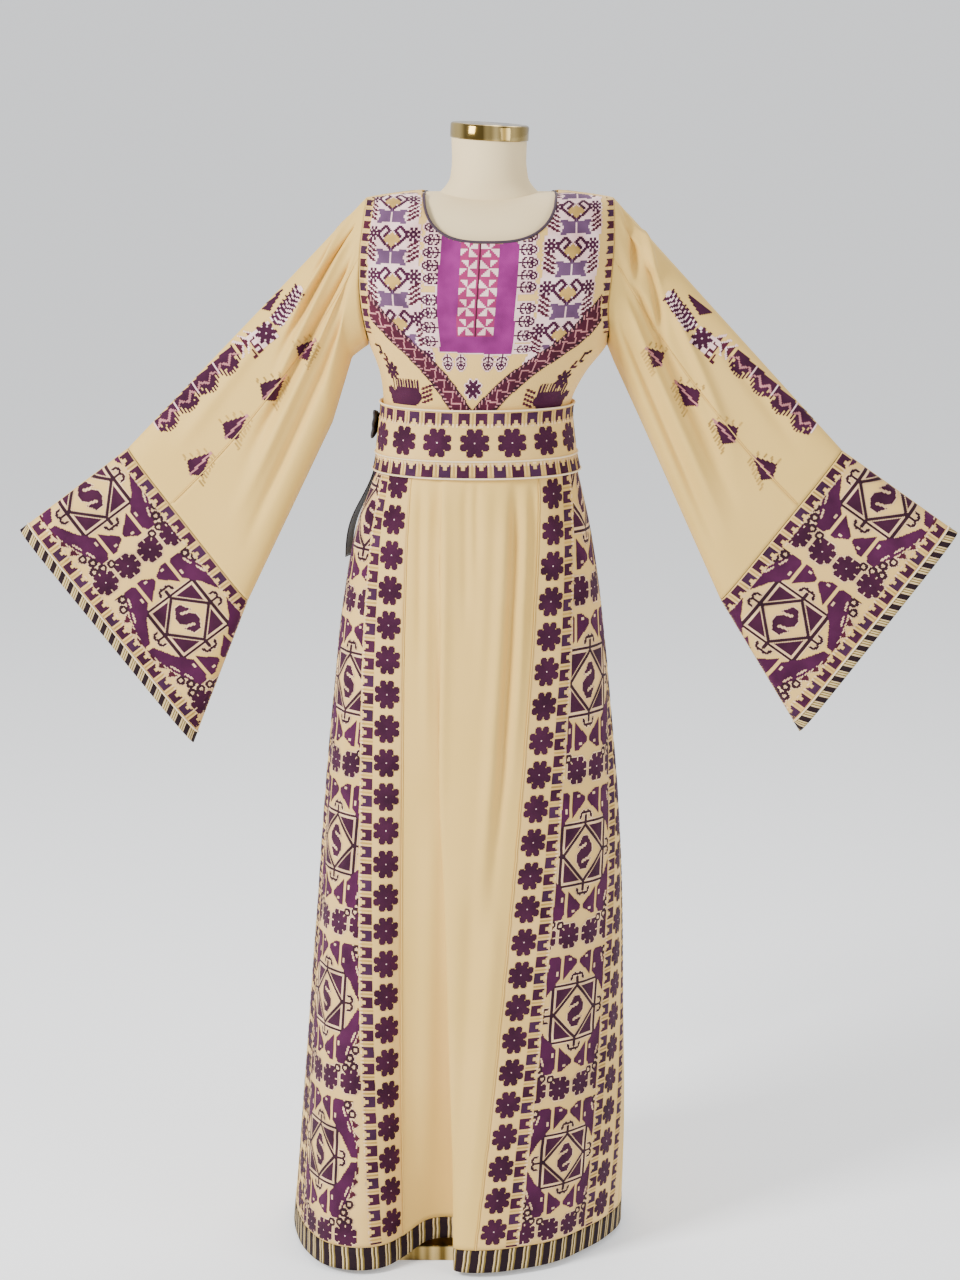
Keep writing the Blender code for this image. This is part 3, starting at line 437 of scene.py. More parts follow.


# Creases laid on the cloth, each a soft ridge or trough along a line between two places.
# u and v are shares across and down the piece, high is its height and half its half width.
CREASES = {
    "skirt_front": (
        # u0    v0     u1    v1    high     half
        (0.235, 0.035, 0.400, 0.62, -0.0090, 0.0060),
        (0.290, 0.040, 0.470, 0.95, 0.0060, 0.0110),
        (0.080, 0.040, 0.130, 0.30, -0.0037, 0.0060),
        (0.140, 0.040, 0.190, 0.42, 0.0030, 0.0070),
        (0.440, 0.040, 0.500, 0.24, -0.0033, 0.0060),
        (0.520, 0.040, 0.560, 0.17, -0.0027, 0.0045),
        (0.600, 0.040, 0.640, 0.34, 0.0027, 0.0090),
        (0.735, 0.040, 0.760, 0.66, 0.0060, 0.0095),
        (0.815, 0.035, 0.850, 0.60, -0.0093, 0.0075),
        (0.890, 0.040, 0.930, 0.46, 0.0048, 0.0080),
        (0.955, 0.040, 0.960, 0.30, -0.0033, 0.0055),
        (0.700, 0.520, 0.820, 0.98, -0.0060, 0.0150),
        (0.880, 0.550, 0.930, 0.98, 0.0045, 0.0130),
        (0.230, 0.450, 0.200, 0.98, 0.0036, 0.0150),
    ),
    "skirt_back": (
        (0.12, 0.04, 0.10, 0.60, -0.0050, 0.0100),
        (0.22, 0.04, 0.24, 0.75, 0.0050, 0.0120),
        (0.35, 0.04, 0.33, 0.50, -0.0050, 0.0090),
        (0.47, 0.04, 0.50, 0.85, 0.0055, 0.0130),
        (0.58, 0.04, 0.60, 0.55, -0.0055, 0.0090),
        (0.70, 0.04, 0.68, 0.70, 0.0045, 0.0120),
        (0.83, 0.04, 0.86, 0.45, -0.0045, 0.0090),
        (0.92, 0.30, 0.90, 0.95, 0.0040, 0.0160),
    ),
    "skirt_side": (
        (0.30, 0.05, 0.36, 0.55, 0.0022, 0.0120),
        (0.62, 0.05, 0.56, 0.65, -0.0024, 0.0110),
        (0.45, 0.35, 0.42, 0.95, 0.0020, 0.0140),
        (0.78, 0.45, 0.80, 0.98, -0.0020, 0.0140),
    ),
    # on a sleeve u runs down from the top fold at the front, and v away from the armhole
    "sleeve_left": (
        (0.06, 0.02, 0.34, 0.30, -0.0102, 0.0085),
        (0.16, 0.02, 0.40, 0.42, 0.0090, 0.0100),
        (0.30, 0.02, 0.46, 0.50, -0.0102, 0.0090),
        (0.44, 0.02, 0.55, 0.62, 0.0096, 0.0110),
        (0.58, 0.03, 0.60, 0.80, -0.0108, 0.0100),
        (0.70, 0.05, 0.68, 0.95, 0.0096, 0.0120),
        (0.84, 0.05, 0.80, 0.98, -0.0096, 0.0110),
        (0.25, 0.45, 0.24, 0.97, 0.0042, 0.0150),
    ),
    "sleeve_right": (
        (0.04, 0.03, 0.30, 0.10, -0.0102, 0.0080),
        (0.20, 0.06, 0.62, 0.15, -0.0144, 0.0090),
        (0.12, 0.12, 0.50, 0.26, 0.0096, 0.0110),
        (0.34, 0.18, 0.66, 0.34, -0.0108, 0.0100),
        (0.40, 0.30, 0.56, 0.80, 0.0078, 0.0120),
        (0.62, 0.10, 0.66, 0.92, -0.0102, 0.0110),
        (0.78, 0.06, 0.76, 0.96, 0.0090, 0.0120),
        (0.88, 0.06, 0.86, 0.96, -0.0078, 0.0100),
        (0.22, 0.50, 0.22, 0.97, -0.0042, 0.0150),
    ),
}
CREASE_RISE, CREASE_START, CREASE_FADE = 6, 0.15, 2.2  # how a crease begins, and how it runs out


def creased(points, facing, u, v, wide, high, rows):
    """The points moved along their normals by the creases of a table."""
    move = np.zeros(u.shape)
    for u0, v0, u1, v1, height, half in rows:
        along = np.array([(u1 - u0) * wide, (v1 - v0) * high])
        length = np.linalg.norm(along)
        du, dv = (u - u0) * wide, (v - v0) * high
        t = (du * along[0] + dv * along[1]) / length**2
        off = (du * along[1] - dv * along[0]) / length
        ends = ease(t * CREASE_RISE + CREASE_START) * ease((1 - t) * CREASE_FADE)
        move += height * np.exp(-((off / half) ** 2)) * ends
    return points + grid_normals(points, facing) * move[..., None]


# Meshes

TINY = 1e-12
INSIDE_GRID = 1.000001


def normalised(vectors):
    return vectors / np.maximum(np.linalg.norm(vectors, axis=-1, keepdims=True), TINY)


def grid_normals(points, facing, closed=False):
    if closed:
        padded = np.concatenate([points[:, -2:-1], points, points[:, 1:2]], axis=1)
        across = np.gradient(padded, axis=1)[:, 1:-1]
    else:
        across = np.gradient(points, axis=1)
    return normalised(np.cross(np.gradient(points, axis=0), across) * facing)


def mesh_object(name, vertices, faces, slots=None, materials=(), uv=None, smooth=True):
    """Mesh from arrays: faces has four corners a row, uv two numbers a corner."""
    mesh = bpy.data.meshes.new(name)
    faces = np.asarray(faces, np.int32)
    mesh.vertices.add(len(vertices))
    mesh.vertices.foreach_set("co", np.asarray(vertices, np.float32).ravel())
    mesh.loops.add(faces.size)
    mesh.loops.foreach_set("vertex_index", faces.ravel())
    mesh.polygons.add(len(faces))
    mesh.polygons.foreach_set("loop_start", np.arange(0, faces.size, 4, dtype=np.int32))
    mesh.polygons.foreach_set("loop_total", np.full(len(faces), 4, np.int32))
    for item in materials:
        mesh.materials.append(item)
    if slots is not None:
        mesh.polygons.foreach_set("material_index", np.asarray(slots, np.int32))
    if uv is not None:
        mesh.uv_layers.new(name="cloth").data.foreach_set("uv", np.asarray(uv, np.float32).ravel())
    mesh.update()
    mesh.validate()
    if smooth:
        mesh.shade_smooth()
    thing = bpy.data.objects.new(name, mesh)
    bpy.context.scene.collection.objects.link(thing)
    return thing


def quads(rows, columns, facing):
    i, j = np.meshgrid(np.arange(rows - 1), np.arange(columns - 1), indexing="ij")
    a = (i * columns + j).ravel()
    corners = np.stack([a, a + columns, a + columns + 1, a + 1], axis=1)
    return corners if facing > 0 else corners[:, ::-1]


def grid_object(name, points, facing, material, uv=None):
    faces = quads(*points.shape[:2], facing)
    corners = None if uv is None else uv.reshape(-1, 2)[faces.ravel()]
    return mesh_object(name, points.reshape(-1, 3), faces, materials=[MATERIALS[material]], uv=corners)


def cloth(name, points, facing, material, slot, nodes, thick=WALL):
    """Thin shell over a grid of points, its outer face at the points."""
    rows, columns = points.shape[:2]
    steps = np.linalg.norm(np.diff(points, axis=1), axis=-1)
    along = np.concatenate([np.zeros((rows, 1)), np.cumsum(steps, axis=1)], axis=1)
    fall = np.linalg.norm(np.diff(points, axis=0), axis=-1).mean(axis=1)
    down = np.concatenate([[0.0], np.cumsum(fall)])
    uv = np.stack([along, np.repeat(down[:, None], columns, axis=1)], axis=-1)
    thing = grid_object(name, points, facing, material, uv)
    shell = thing.modifiers.new("wall", "SOLIDIFY")
    shell.thickness = thick
    shell.offset = -1.0
    return dress(thing, slot, nodes)


def dress(thing, slot, nodes=()):
    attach(thing, "root")
    if nodes:
        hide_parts(*nodes)
    return thing


ACROSS_TUBE = np.array([0.12, 0.31, 0.94])  # a direction that no piping runs in


def tube(name, path, radius, material, slot, closed=False, sides=8, nodes=()):
    """Round piping along a path of points."""
    path = np.asarray(path, float)
    if closed:
        path = np.concatenate([path, path[:1]])
    way = np.gradient(path, axis=0)
    if closed:
        way[0] = way[-1] = path[1] - path[-2]
    way = normalised(way)
    side = normalised(np.cross(way, ACROSS_TUBE))
    turn = np.linspace(0, 2 * math.pi, sides + 1)[None, :, None]
    ring = side[:, None] * np.cos(turn) + np.cross(way, side)[:, None] * np.sin(turn)
    return dress(grid_object(name, path[:, None] + ring * radius, -1, material), slot, nodes)


def sample(grid, i, j):
    """Values of a grid between its rows and columns."""
    rows, columns = grid.shape[:2]
    i, j = np.clip(i, 0, rows - INSIDE_GRID), np.clip(j, 0, columns - INSIDE_GRID)
    a, b = i.astype(int), j.astype(int)
    p, q = (i - a)[..., None], (j - b)[..., None]
    low = grid[a, b] * (1 - q) + grid[a, b + 1] * q
    high = grid[a + 1, b] * (1 - q) + grid[a + 1, b + 1] * q
    return low * (1 - p) + high * p


class Stitches:
    """Cross-stitches of one piece, gathered from charts and made into one mesh."""

    def __init__(self, name, slot):
        self.name, self.slot = name, slot
        self.corners, self.codes = [], []

    def add(self, chart, points, normals, there):
        """chart holds codes, the arrays hold the corners of its squares, one more each way."""
        places = points + normals * STITCH_UP
        ok = there[:-1, :-1] & there[1:, :-1] & there[1:, 1:] & there[:-1, 1:] & (chart > 0)
        i, j = np.nonzero(ok)
        corners = [places[i, j], places[i + 1, j], places[i + 1, j + 1], places[i, j + 1]]
        self.corners.append(np.stack(corners, axis=1))
        self.codes.append(chart[i, j])

    def make(self):
        corners = np.concatenate(self.corners)
        codes = np.concatenate(self.codes)
        used = sorted(set(codes.tolist()))
        index = np.searchsorted(used, codes)
        faces = np.arange(len(corners) * 4).reshape(-1, 4)
        uv = np.tile([[0, 1], [0, 0], [1, 0], [1, 1]], (len(faces), 1))
        skins = [MATERIALS[THREADS[code][0]] for code in used]
        thing = mesh_object(self.name, corners.reshape(-1, 3), faces, index, skins, uv, smooth=False)
        return dress(thing, self.slot)


# Charts: x to the right and y down, in stitches


def blank(width, height):
    return np.zeros((height, width), int)


def squares(chart):
    rows, columns = chart.shape
    return np.meshgrid(np.arange(columns) + 0.5, np.arange(rows) + 0.5)


def polygon(chart, points, code):
    x, y = squares(chart)
    inside = np.zeros(chart.shape, bool)
    for (x0, y0), (x1, y1) in zip(points, points[1:] + points[:1]):
        if y0 != y1:
            inside ^= ((y0 > y) != (y1 > y)) & (x < x0 + (x1 - x0) * (y - y0) / (y1 - y0))
    chart[inside] = code


def stroke(chart, points, code, width=1.1):
    x, y = squares(chart)
    for (x0, y0), (x1, y1) in zip(points, points[1:]):
        dx, dy = x1 - x0, y1 - y0
        t = np.clip(((x - x0) * dx + (y - y0) * dy) / (dx * dx + dy * dy), 0.0, 1.0)
        chart[np.hypot(x - x0 - t * dx, y - y0 - t * dy) < width / 2] = code


def moved(points, x, y, scale_x=1.0, scale_y=1.0):
    return [(x + px * scale_x, y + py * scale_y) for px, py in points]


def stamp(chart, motif, x, y):
    """Lays a small chart on another, with its middle at x, y."""
    rows, columns = motif.shape
    top, left = round(y - rows / 2), round(x - columns / 2)
    for i in range(rows):
        for j in range(columns):
            if motif[i, j] and 0 <= top + i < chart.shape[0] and 0 <= left + j < chart.shape[1]:
                chart[top + i, left + j] = motif[i, j]


def read_chart(rows, key):
    return np.array([[key.get(letter, 0) for letter in row] for row in rows])


EIGHT_WAYS = [math.radians(22.5 + 45 * k) for k in range(8)]
# of a flower 17 stitches wide: its disc, how far out its lobes stand, their size, its pale middle
ROSETTE_SIZE, ROSETTE_DISC, LOBES_OUT, LOBE, PALE_MIDDLE = 17, 5.45, 6.2, 2.36, 0.6


def rosette(size):
    """Flower of eight lobes with a pale middle stitch."""
    chart = blank(size, size)
    x, y = squares(chart)
    scale = size / ROSETTE_SIZE
    x, y = (x - size / 2) / scale, (y - size / 2) / scale
    chart[np.hypot(x, y) < ROSETTE_DISC] = PURPLE
    for turn in EIGHT_WAYS:
        chart[np.hypot(x - LOBES_OUT * math.cos(turn), y - LOBES_OUT * math.sin(turn)) < LOBE] = PURPLE
    chart[(np.abs(x) < PALE_MIDDLE) & (np.abs(y) < PALE_MIDDLE)] = PINK
    return chart


FLAG = (
    "#######.",
    "######..",
    "####...o",
    "####...o",
    "######..",
    "#######.",
    "......oo",
    "yyyyyyy.",
    "......oo",
)
FLAG_HIGH = len(FLAG)
FLAG_THREADS = (PURPLE, PURPLE, SLATE, PURPLE, SLATE)
STAR, SMALL_STAR = 13, 9
PETAL_OPEN, PETAL_START, PETAL_CLOSE, PETAL_END, PETAL_WIDE = 0.62, 0.04, 1.3, 1.16, 0.24


def flag_column(count):
    threads = [FLAG_THREADS[k % len(FLAG_THREADS)] for k in range(count)]
    return np.concatenate([read_chart(FLAG, {"#": code, "o": BLUSH, "y": OCHRE}) for code in threads])


def star(size):
    """Star of eight separate petals."""
    chart = blank(size, size)
    x, y = squares(chart)
    half = size / 2
    x, y = x - half, y - half
    for turn in EIGHT_WAYS:
        along = x * math.cos(turn) + y * math.sin(turn)
        off = np.abs(x * math.sin(turn) - y * math.cos(turn))
        limit = np.minimum(along - PETAL_START * half, PETAL_CLOSE * (PETAL_END * half - along))
        chart[(off < PETAL_OPEN * limit) & (off < PETAL_WIDE * half)] = PURPLE
    return chart


def halo(chart, code=BLUSH):
    """Pale stitches in the empty squares that touch a dark one."""
    dark = np.pad(np.isin(chart, (PURPLE, WINE, MAGENTA, DARK)), 1)
    near = dark[:-2, 1:-1] | dark[2:, 1:-1] | dark[1:-1, :-2] | dark[1:-1, 2:]
    chart[near & (chart == 0)] = code


# A bird of the side panels, to the upper left of a diamond's middle
BIRD_HEAD = [(-10.6, -34.5), (-8.0, -34.8), (-1.0, -30.4), (-0.8, -28.2), (-3.5, -26.0), (-10.6, -19.6)]
BIRD_BODY = [
    (-12.4, -32.4), (-15.0, -35.6), (-19.2, -35.2), (-22.0, -28.6), (-25.6, -21.0), (-28.4, -12.0),
    (-30.4, -0.8), (-26.4, -1.6), (-23.2, -7.0), (-19.6, -13.0), (-12.4, -20.8),
]
BIRD_FEATHERS = (
    [(-25.6, -23.5), (-30.6, -20.5), (-27.0, -17.6)],
    [(-27.8, -16.5), (-31.6, -12.6), (-28.8, -10.4)],
    [(-29.4, -9.5), (-32.4, -5.6), (-30.0, -3.6)],
)
BIRD_LINES = (
    [(-20.0, -29.5), (-21.6, -25.0)],
    [(-23.2, -21.5), (-25.2, -16.5)],
    [(-14.5, -25.0), (-14.4, -23.0)],
    [(-6.8, -31.4), (-5.2, -31.2)],
)
BIRD_RINGS = ((-22.8, -31.4), (-26.0, -26.4), (-20.2, -37.4), (-25.6, -36.2), (-14.6, -38.4))
S_SHAPE = [(-1.6, -9.0), (2.4, -9.0), (5.4, -4.4), (5.4, -0.4), (3.0, 3.0), (5.4, 3.0), (1.6, 9.0)]
S_SLOTS = ([(-8.0, -1.6), (1.0, -4.4)], [(8.0, 1.6), (-1.0, 4.4)])
CURL_STEM = [(0, -15), (0, -20.5)]
CURL_HOOKS = [
    (-4.2, -19.4), (-3.6, -21.6), (-1.8, -22.4), (0, -21.6), (1.8, -22.4), (3.6, -21.6), (4.2, -19.4),
]
ZONE_WIDE, ZONE_HIGH, ZONE_MIDDLE, ZONE_FINE = 62, 90, 34, 1.5
ZONE_ROSETTE, ROSETTES_ACROSS = 23, (-24, -8, 8, 24)
# from the diamond's middle: the frame's outer and inner edge, its filled corners, the diamond's edges
FRAME_OUT, FRAME_IN, CORNER_IN, DIAMOND_OUT, DIAMOND_IN = 17.6, 15.9, 14.6, 16.4, 14.2
CURL_THICK, RING_OUT, RING_IN = 1.6, 2.7, 1.0


def diamond_unit(chart, cx, cy, fine=1.0):
    """Square frame with four filled corners round a diamond, with a bird at each side of it.
    Sizes are in stitches, and fine is how many squares of the chart one of them takes."""
    x, y = squares(chart)
    across, down = (x - cx) / fine, (y - cy) / fine
    x, y = np.abs(across), np.abs(down)
    inside = (x < FRAME_OUT) & (y < FRAME_OUT)
    chart[inside & ((x > FRAME_IN) | (y > FRAME_IN))] = DARK
    chart[inside & (x < CORNER_IN) & (y < CORNER_IN) & (x + y > FRAME_OUT)] = PURPLE
    chart[inside & (x + y > DIAMOND_IN) & (x + y < DIAMOND_OUT)] = DARK
    for way in (fine, -fine):
        polygon(chart, moved(S_SHAPE, cx, cy, way, way), PURPLE)
    for slot in S_SLOTS:
        stroke(chart, moved(slot, cx, cy, fine, fine), 0, CURL_THICK * fine)
    for curl in (CURL_STEM, CURL_HOOKS):
        for way in (fine, -fine):
            turned = [(-py, px) for px, py in curl]
            stroke(chart, moved(curl, cx, cy, fine, way), DARK, CURL_THICK * fine)
            stroke(chart, moved(turned, cx, cy, way, fine), DARK, CURL_THICK * fine)
    for way_x in (1, -1):
        for way_y in (1, -1):
            size = fine * way_x, fine * way_y
            polygon(chart, moved(BIRD_HEAD, cx, cy, *size), PLUM)
            polygon(chart, moved(BIRD_BODY, cx, cy, *size), PLUM)
            for feather in BIRD_FEATHERS:
                polygon(chart, moved(feather, cx, cy, *size), WINE)
            for ring_x, ring_y in BIRD_RINGS:
                far = np.hypot(across - ring_x * way_x, down - ring_y * way_y)
                chart[(far < RING_OUT) & (far > RING_IN)] = DARK
            for line in BIRD_LINES:
                stroke(chart, moved(line, cx, cy, *size), BLUSH, fine)


def zone():
    """Repeat of the side panels: a diamond with four birds, and a row of rosettes below."""
    chart = blank(round(ZONE_WIDE * ZONE_FINE), round(ZONE_HIGH * ZONE_FINE))
    middle, centre = ZONE_WIDE * ZONE_FINE / 2, ZONE_MIDDLE * ZONE_FINE
    diamond_unit(chart, middle, centre, ZONE_FINE)
    for x in ROSETTES_ACROSS:
        stamp(chart, rosette(ZONE_ROSETTE), middle + x * ZONE_FINE, centre + ZONE_HIGH * ZONE_FINE / 2)
    halo(chart)
    return chart


def lattice(chart, x0, y0, step_x, step_y):
    """Corner places of a chart's squares, from its top left corner."""
    rows, columns = chart.shape
    x = x0 + np.arange(columns + 1) * step_x
    y = y0 + np.arange(rows + 1) * step_y
    return np.meshgrid(x, y)


# Materials


def node(tree, kind, **values):
    made = tree.nodes.new(kind)
    for key, value in values.items():
        if key in made.inputs:
            made.inputs[key].default_value = value
        else:
            setattr(made, key, value)
    return made


def new_material(name, colour, rough, sheen=0.0, metallic=0.0):
    skin = bpy.data.materials.new(name)
    skin.use_nodes = True
    tree = skin.node_tree
    shader = tree.nodes["Principled BSDF"]
    shader.inputs["Base Color"].default_value = (*colour, 1.0)
    shader.inputs["Roughness"].default_value = rough
    shader.inputs["Metallic"].default_value = metallic
    shader.inputs["Sheen Weight"].default_value = sheen
    shader.inputs["Sheen Roughness"].default_value = 0.45
    return skin, tree, shader


def math_node(tree, operation, first, second=None):
    made = node(tree, "ShaderNodeMath", operation=operation)
    for socket, value in zip(made.inputs, (first, second)):
        if value is None:
            continue
        if isinstance(value, (int, float)):
            socket.default_value = value
        else:
            tree.links.new(value, socket)
    return made.outputs[0]


def noise_at(tree, place, scale, detail, rough):
    noise = node(tree, "ShaderNodeTexNoise", Scale=scale, Detail=detail, Roughness=rough)
    tree.links.new(place, noise.inputs["Vector"])
    return noise.outputs["Fac"]


def ramped(tree, shader, share, stops, interpolation="LINEAR"):
    """Base colour taken from a table of places and colours."""
    ramp = node(tree, "ShaderNodeValToRGB")
    ramp.color_ramp.interpolation = interpolation
    points = ramp.color_ramp.elements
    for k, (at, colour) in enumerate(stops):
        point = points[k] if k < 2 else points.new(at)
        point.position = at
        point.color = (*colour, 1.0)
    tree.links.new(share, ramp.inputs["Fac"])
    tree.links.new(ramp.outputs["Color"], shader.inputs["Base Color"])
    return ramp.outputs["Color"]


def raised(tree, shader, height, strength, distance):
    bump = node(tree, "ShaderNodeBump", Strength=strength, Distance=distance)
    tree.links.new(height, bump.inputs["Height"])
    tree.links.new(bump.outputs["Normal"], shader.inputs["Normal"])


def mottled(tree, shader, colour, other, scale, share, detail=3.0):
    """Base colour that drifts between two colours, on noise in the object's own space."""
    place = node(tree, "ShaderNodeTexCoord")
    drift = noise_at(tree, place.outputs["Object"], scale, detail, 0.55)
    return ramped(tree, shader, drift, ((0.5 - share, colour), (0.5 + share, other))), place


def grain(tree, shader, place, scale, distance):
    """Fine bump of the weave."""
    raised(tree, shader, noise_at(tree, place.outputs["Object"], scale, 2.0, 0.6), 0.5, distance)


def crepe_material(name, colour, other, grain_scale=900.0, distance=0.0004):
    skin, tree, shader = new_material(name, colour, 0.72, 0.04)
    _, place = mottled(tree, shader, colour, other, 7.0, 0.22)
    grain(tree, shader, place, grain_scale, distance)
    return skin


def thread_material(name, colour):
    """Cross-stitch: two crossed strands in each square, with painted shade in the gaps between them."""
    skin, tree, shader = new_material(name, colour, 0.65)
    shader.inputs["Specular IOR Level"].default_value = 0.15
    lighter = tuple(min(1.0, c * 1.35 + 0.004) for c in colour)
    darker = tuple(c * 0.72 for c in colour)
    drift, place = mottled(tree, shader, darker, lighter, 26.0, 0.2, 2.0)
    split = node(tree, "ShaderNodeSeparateXYZ")
    tree.links.new(place.outputs["UV"], split.inputs[0])
    u, v = split.outputs[0], split.outputs[1]
    one = math_node(tree, "ABSOLUTE", math_node(tree, "SUBTRACT", u, v))
    two = math_node(tree, "ABSOLUTE", math_node(tree, "SUBTRACT", math_node(tree, "ADD", u, v), 1.0))
    near = math_node(tree, "MINIMUM", one, two)
    high = math_node(tree, "SUBTRACT", 1.0, math_node(tree, "MULTIPLY", near, 2.4))
    high = math_node(tree, "MAXIMUM", high, 0.0)
    mix = node(tree, "ShaderNodeMix", data_type="RGBA")
    # painted shade: away from the strands the colour goes towards a dark copy of the thread
    shade = math_node(tree, "ADD", math_node(tree, "MULTIPLY", high, 0.55), 0.62)
    tree.links.new(math_node(tree, "MINIMUM", shade, 1.0), mix.inputs["Factor"])
    mix.inputs["A"].default_value = (*(c * 0.45 for c in colour), 1.0)
    tree.links.new(drift, mix.inputs["B"])
    tree.links.new(mix.outputs["Result"], shader.inputs["Base Color"])
    raised(tree, shader, high, 0.7, 0.0005)
    return skin


def striped_material(name, stops, period):
    """Woven stripes across a band, from a table of places and colours within one period."""
    skin, tree, shader = new_material(name, stops[0][1], 0.7)
    shader.inputs["Specular IOR Level"].default_value = 0.15
    place = node(tree, "ShaderNodeTexCoord")
    split = node(tree, "ShaderNodeSeparateXYZ")
    tree.links.new(place.outputs["UV"], split.inputs[0])
    turn = math_node(tree, "FRACT", math_node(tree, "DIVIDE", split.outputs[0], period))
    ramped(tree, shader, turn, stops, "CONSTANT")
    grain(tree, shader, place, 1400.0, 0.0003)
    return skin


def metal_material(name, colour, dark, rough):
    """Polished metal with painted reflections: a dark and bright room drawn in its colour as soft upright
    bands.
    """
    skin, tree, shader = new_material(name, colour, rough, metallic=1.0)
    place = node(tree, "ShaderNodeTexCoord")
    stretch = node(tree, "ShaderNodeMapping")
    stretch.inputs["Scale"].default_value = (34.0, 9.0, 0.6)
    tree.links.new(place.outputs["Object"], stretch.inputs["Vector"])
    bands = noise_at(tree, stretch.outputs["Vector"], 1.0, 1.5, 0.5)
    # painted reflection: the base colour runs between the dark and the gold in upright bands
    ramped(tree, shader, bands, ((0.42, dark), (0.60, colour)))
    return skin


AUBERGINE, OLD_GOLD, PALE_STRIPE = (0.012, 0.004, 0.007), (0.16, 0.11, 0.025), (0.56, 0.42, 0.21)
MATERIALS = {name: thread_material(name, colour) for name, colour in THREADS.values()}
# two colours that the cloth drifts between, then the scale of its grain and how high that stands
for cloth_name, *looks in (
    ("crepe", (0.670, 0.430, 0.098), (0.710, 0.455, 0.116)),
    ("canvas", (0.620, 0.390, 0.095), (0.730, 0.465, 0.150), 520.0, 0.0009),
    ("piping", (0.780, 0.620, 0.400), (0.700, 0.530, 0.280), 1500.0),
    ("dark binding", (0.030, 0.014, 0.026), (0.050, 0.022, 0.040)),
    ("form", (0.700, 0.550, 0.300), (0.730, 0.580, 0.330), 1800.0, 0.0001),
):
    MATERIALS[cloth_name] = crepe_material(cloth_name, *looks)
# length of one repeat, where each stripe starts in it, and their colours in turn
for cloth_name, period, starts, colours in (
    (
        "hem stripes", 0.0215, (0.00, 0.52, 0.62, 0.70, 0.78, 0.88),
        (AUBERGINE, PALE_STRIPE, OLD_GOLD, AUBERGINE, PALE_STRIPE, OLD_GOLD),
    ),
    (
        "cuff stripes", 0.0185, (0.00, 0.46, 0.56, 0.66, 0.76, 0.86),
        (AUBERGINE, PALE_STRIPE, OLD_GOLD, PALE_STRIPE, OLD_GOLD, PALE_STRIPE),
    ),
):
    MATERIALS[cloth_name] = striped_material(cloth_name, tuple(zip(starts, colours)), period)
# the gold's second colour is the dark of its painted reflections
MATERIALS["gold"] = metal_material("gold", (0.860, 0.640, 0.260), (0.130, 0.085, 0.022), 0.12)
MATERIALS["satin"], _, satin_shader = new_material("satin", (0.010, 0.007, 0.009), 0.42)
satin_shader.inputs["Specular IOR Level"].default_value = 0.35


# The robe

SKIRT_ROWS = 150
SKIRT_HIGH = WAIST_Z - HEM_Z
BAND_SHARE = (HEM_BAND + SEAM) / SKIRT_HIGH
# side: height of the first rosette under the belt, the pitch there, and how much less each next one takes
ROSETTE_PLACES = {"left": (1.0940, 0.04842, 0.00008), "right": (1.0810, 0.04904, 0.00013)}
# side: height of the lowest diamond's middle, the pitch there, and how much more each next one takes
DIAMOND_PLACES = {"left": (0.160, 0.2125, 0.0020), "right": (0.153, 0.1960, 0.0085)}
# side: the diamonds' distance from the front seam at the lowest one, and how it changes going up
DIAMOND_AWAY = {"left": (0.144, -0.083), "right": (0.122, -0.036)}
ZONE_BACK = 0.057  # from the diamonds' middles to the strip behind them
ROSETTES = 24
STRIP_ROSETTE, STRIP_FLAG, STRIP = 0.0035, 0.0425, 0.0615  # distances from the seam
SECOND_EDGE = 0.004  # between the strip behind the diamonds and the flags behind it
ZONE_CELL, ZONES = 0.00242, 5
FLAG_PITCH = 0.0233
ROSETTE_CHART, ROSETTE_PITCH, ROSETTE_CELL, FLAG_CELL = 25, 28, 0.00154, 0.0024
INSIDE_SIDE, INSIDE_HEM, UNDER_BELT_EDGE = 0.002, 0.0015, 0.01  # margins of the side panels' stitches
TRIM_UP = 0.0004  # a binding stands this far out from the cloth under it
SEAM_ROUND, PIPING_ROUND, NECK_ROUND = 0.0008, 0.0014, 0.0021
HEM_ROWS, HEM_SIDES = 5, 421
BODICE_COLUMNS, BODICE_LOW_ROWS, BODICE_HIGH_ROWS = 110, 26, 60
SHOULDER_CROWD = 1.35  # rows of the bodice lie closer together towards the shoulder


def build_skirt():
    levels = np.linspace(0.0, 1.0 - BAND_SHARE, SKIRT_ROWS)
    grids, things = {}, {}
    for first, (name, columns, material, slot) in enumerate((
        ("skirt_side_left", 56, "canvas", "embroidery"),
        ("skirt_front", 64, "crepe", "crepe"),
        ("skirt_side_right", 56, "canvas", "embroidery"),
        ("skirt_back", 110, "crepe", "crepe"),
    )):
        points, widths = skirt_panel(first, columns, levels)
        u, v = np.meshgrid(np.linspace(0, 1, columns + 1), levels)
        table = CREASES["skirt_side" if "side" in name else name]
        if name == "skirt_side_left":
            u = 1 - u
        points = creased(points, 1, u, v, float(widths.mean()), SKIRT_HIGH, table)
        grids[name] = points, widths, levels
        things[name] = cloth("cloth_" + name, points, 1, material, slot, [name])
    return grids, things


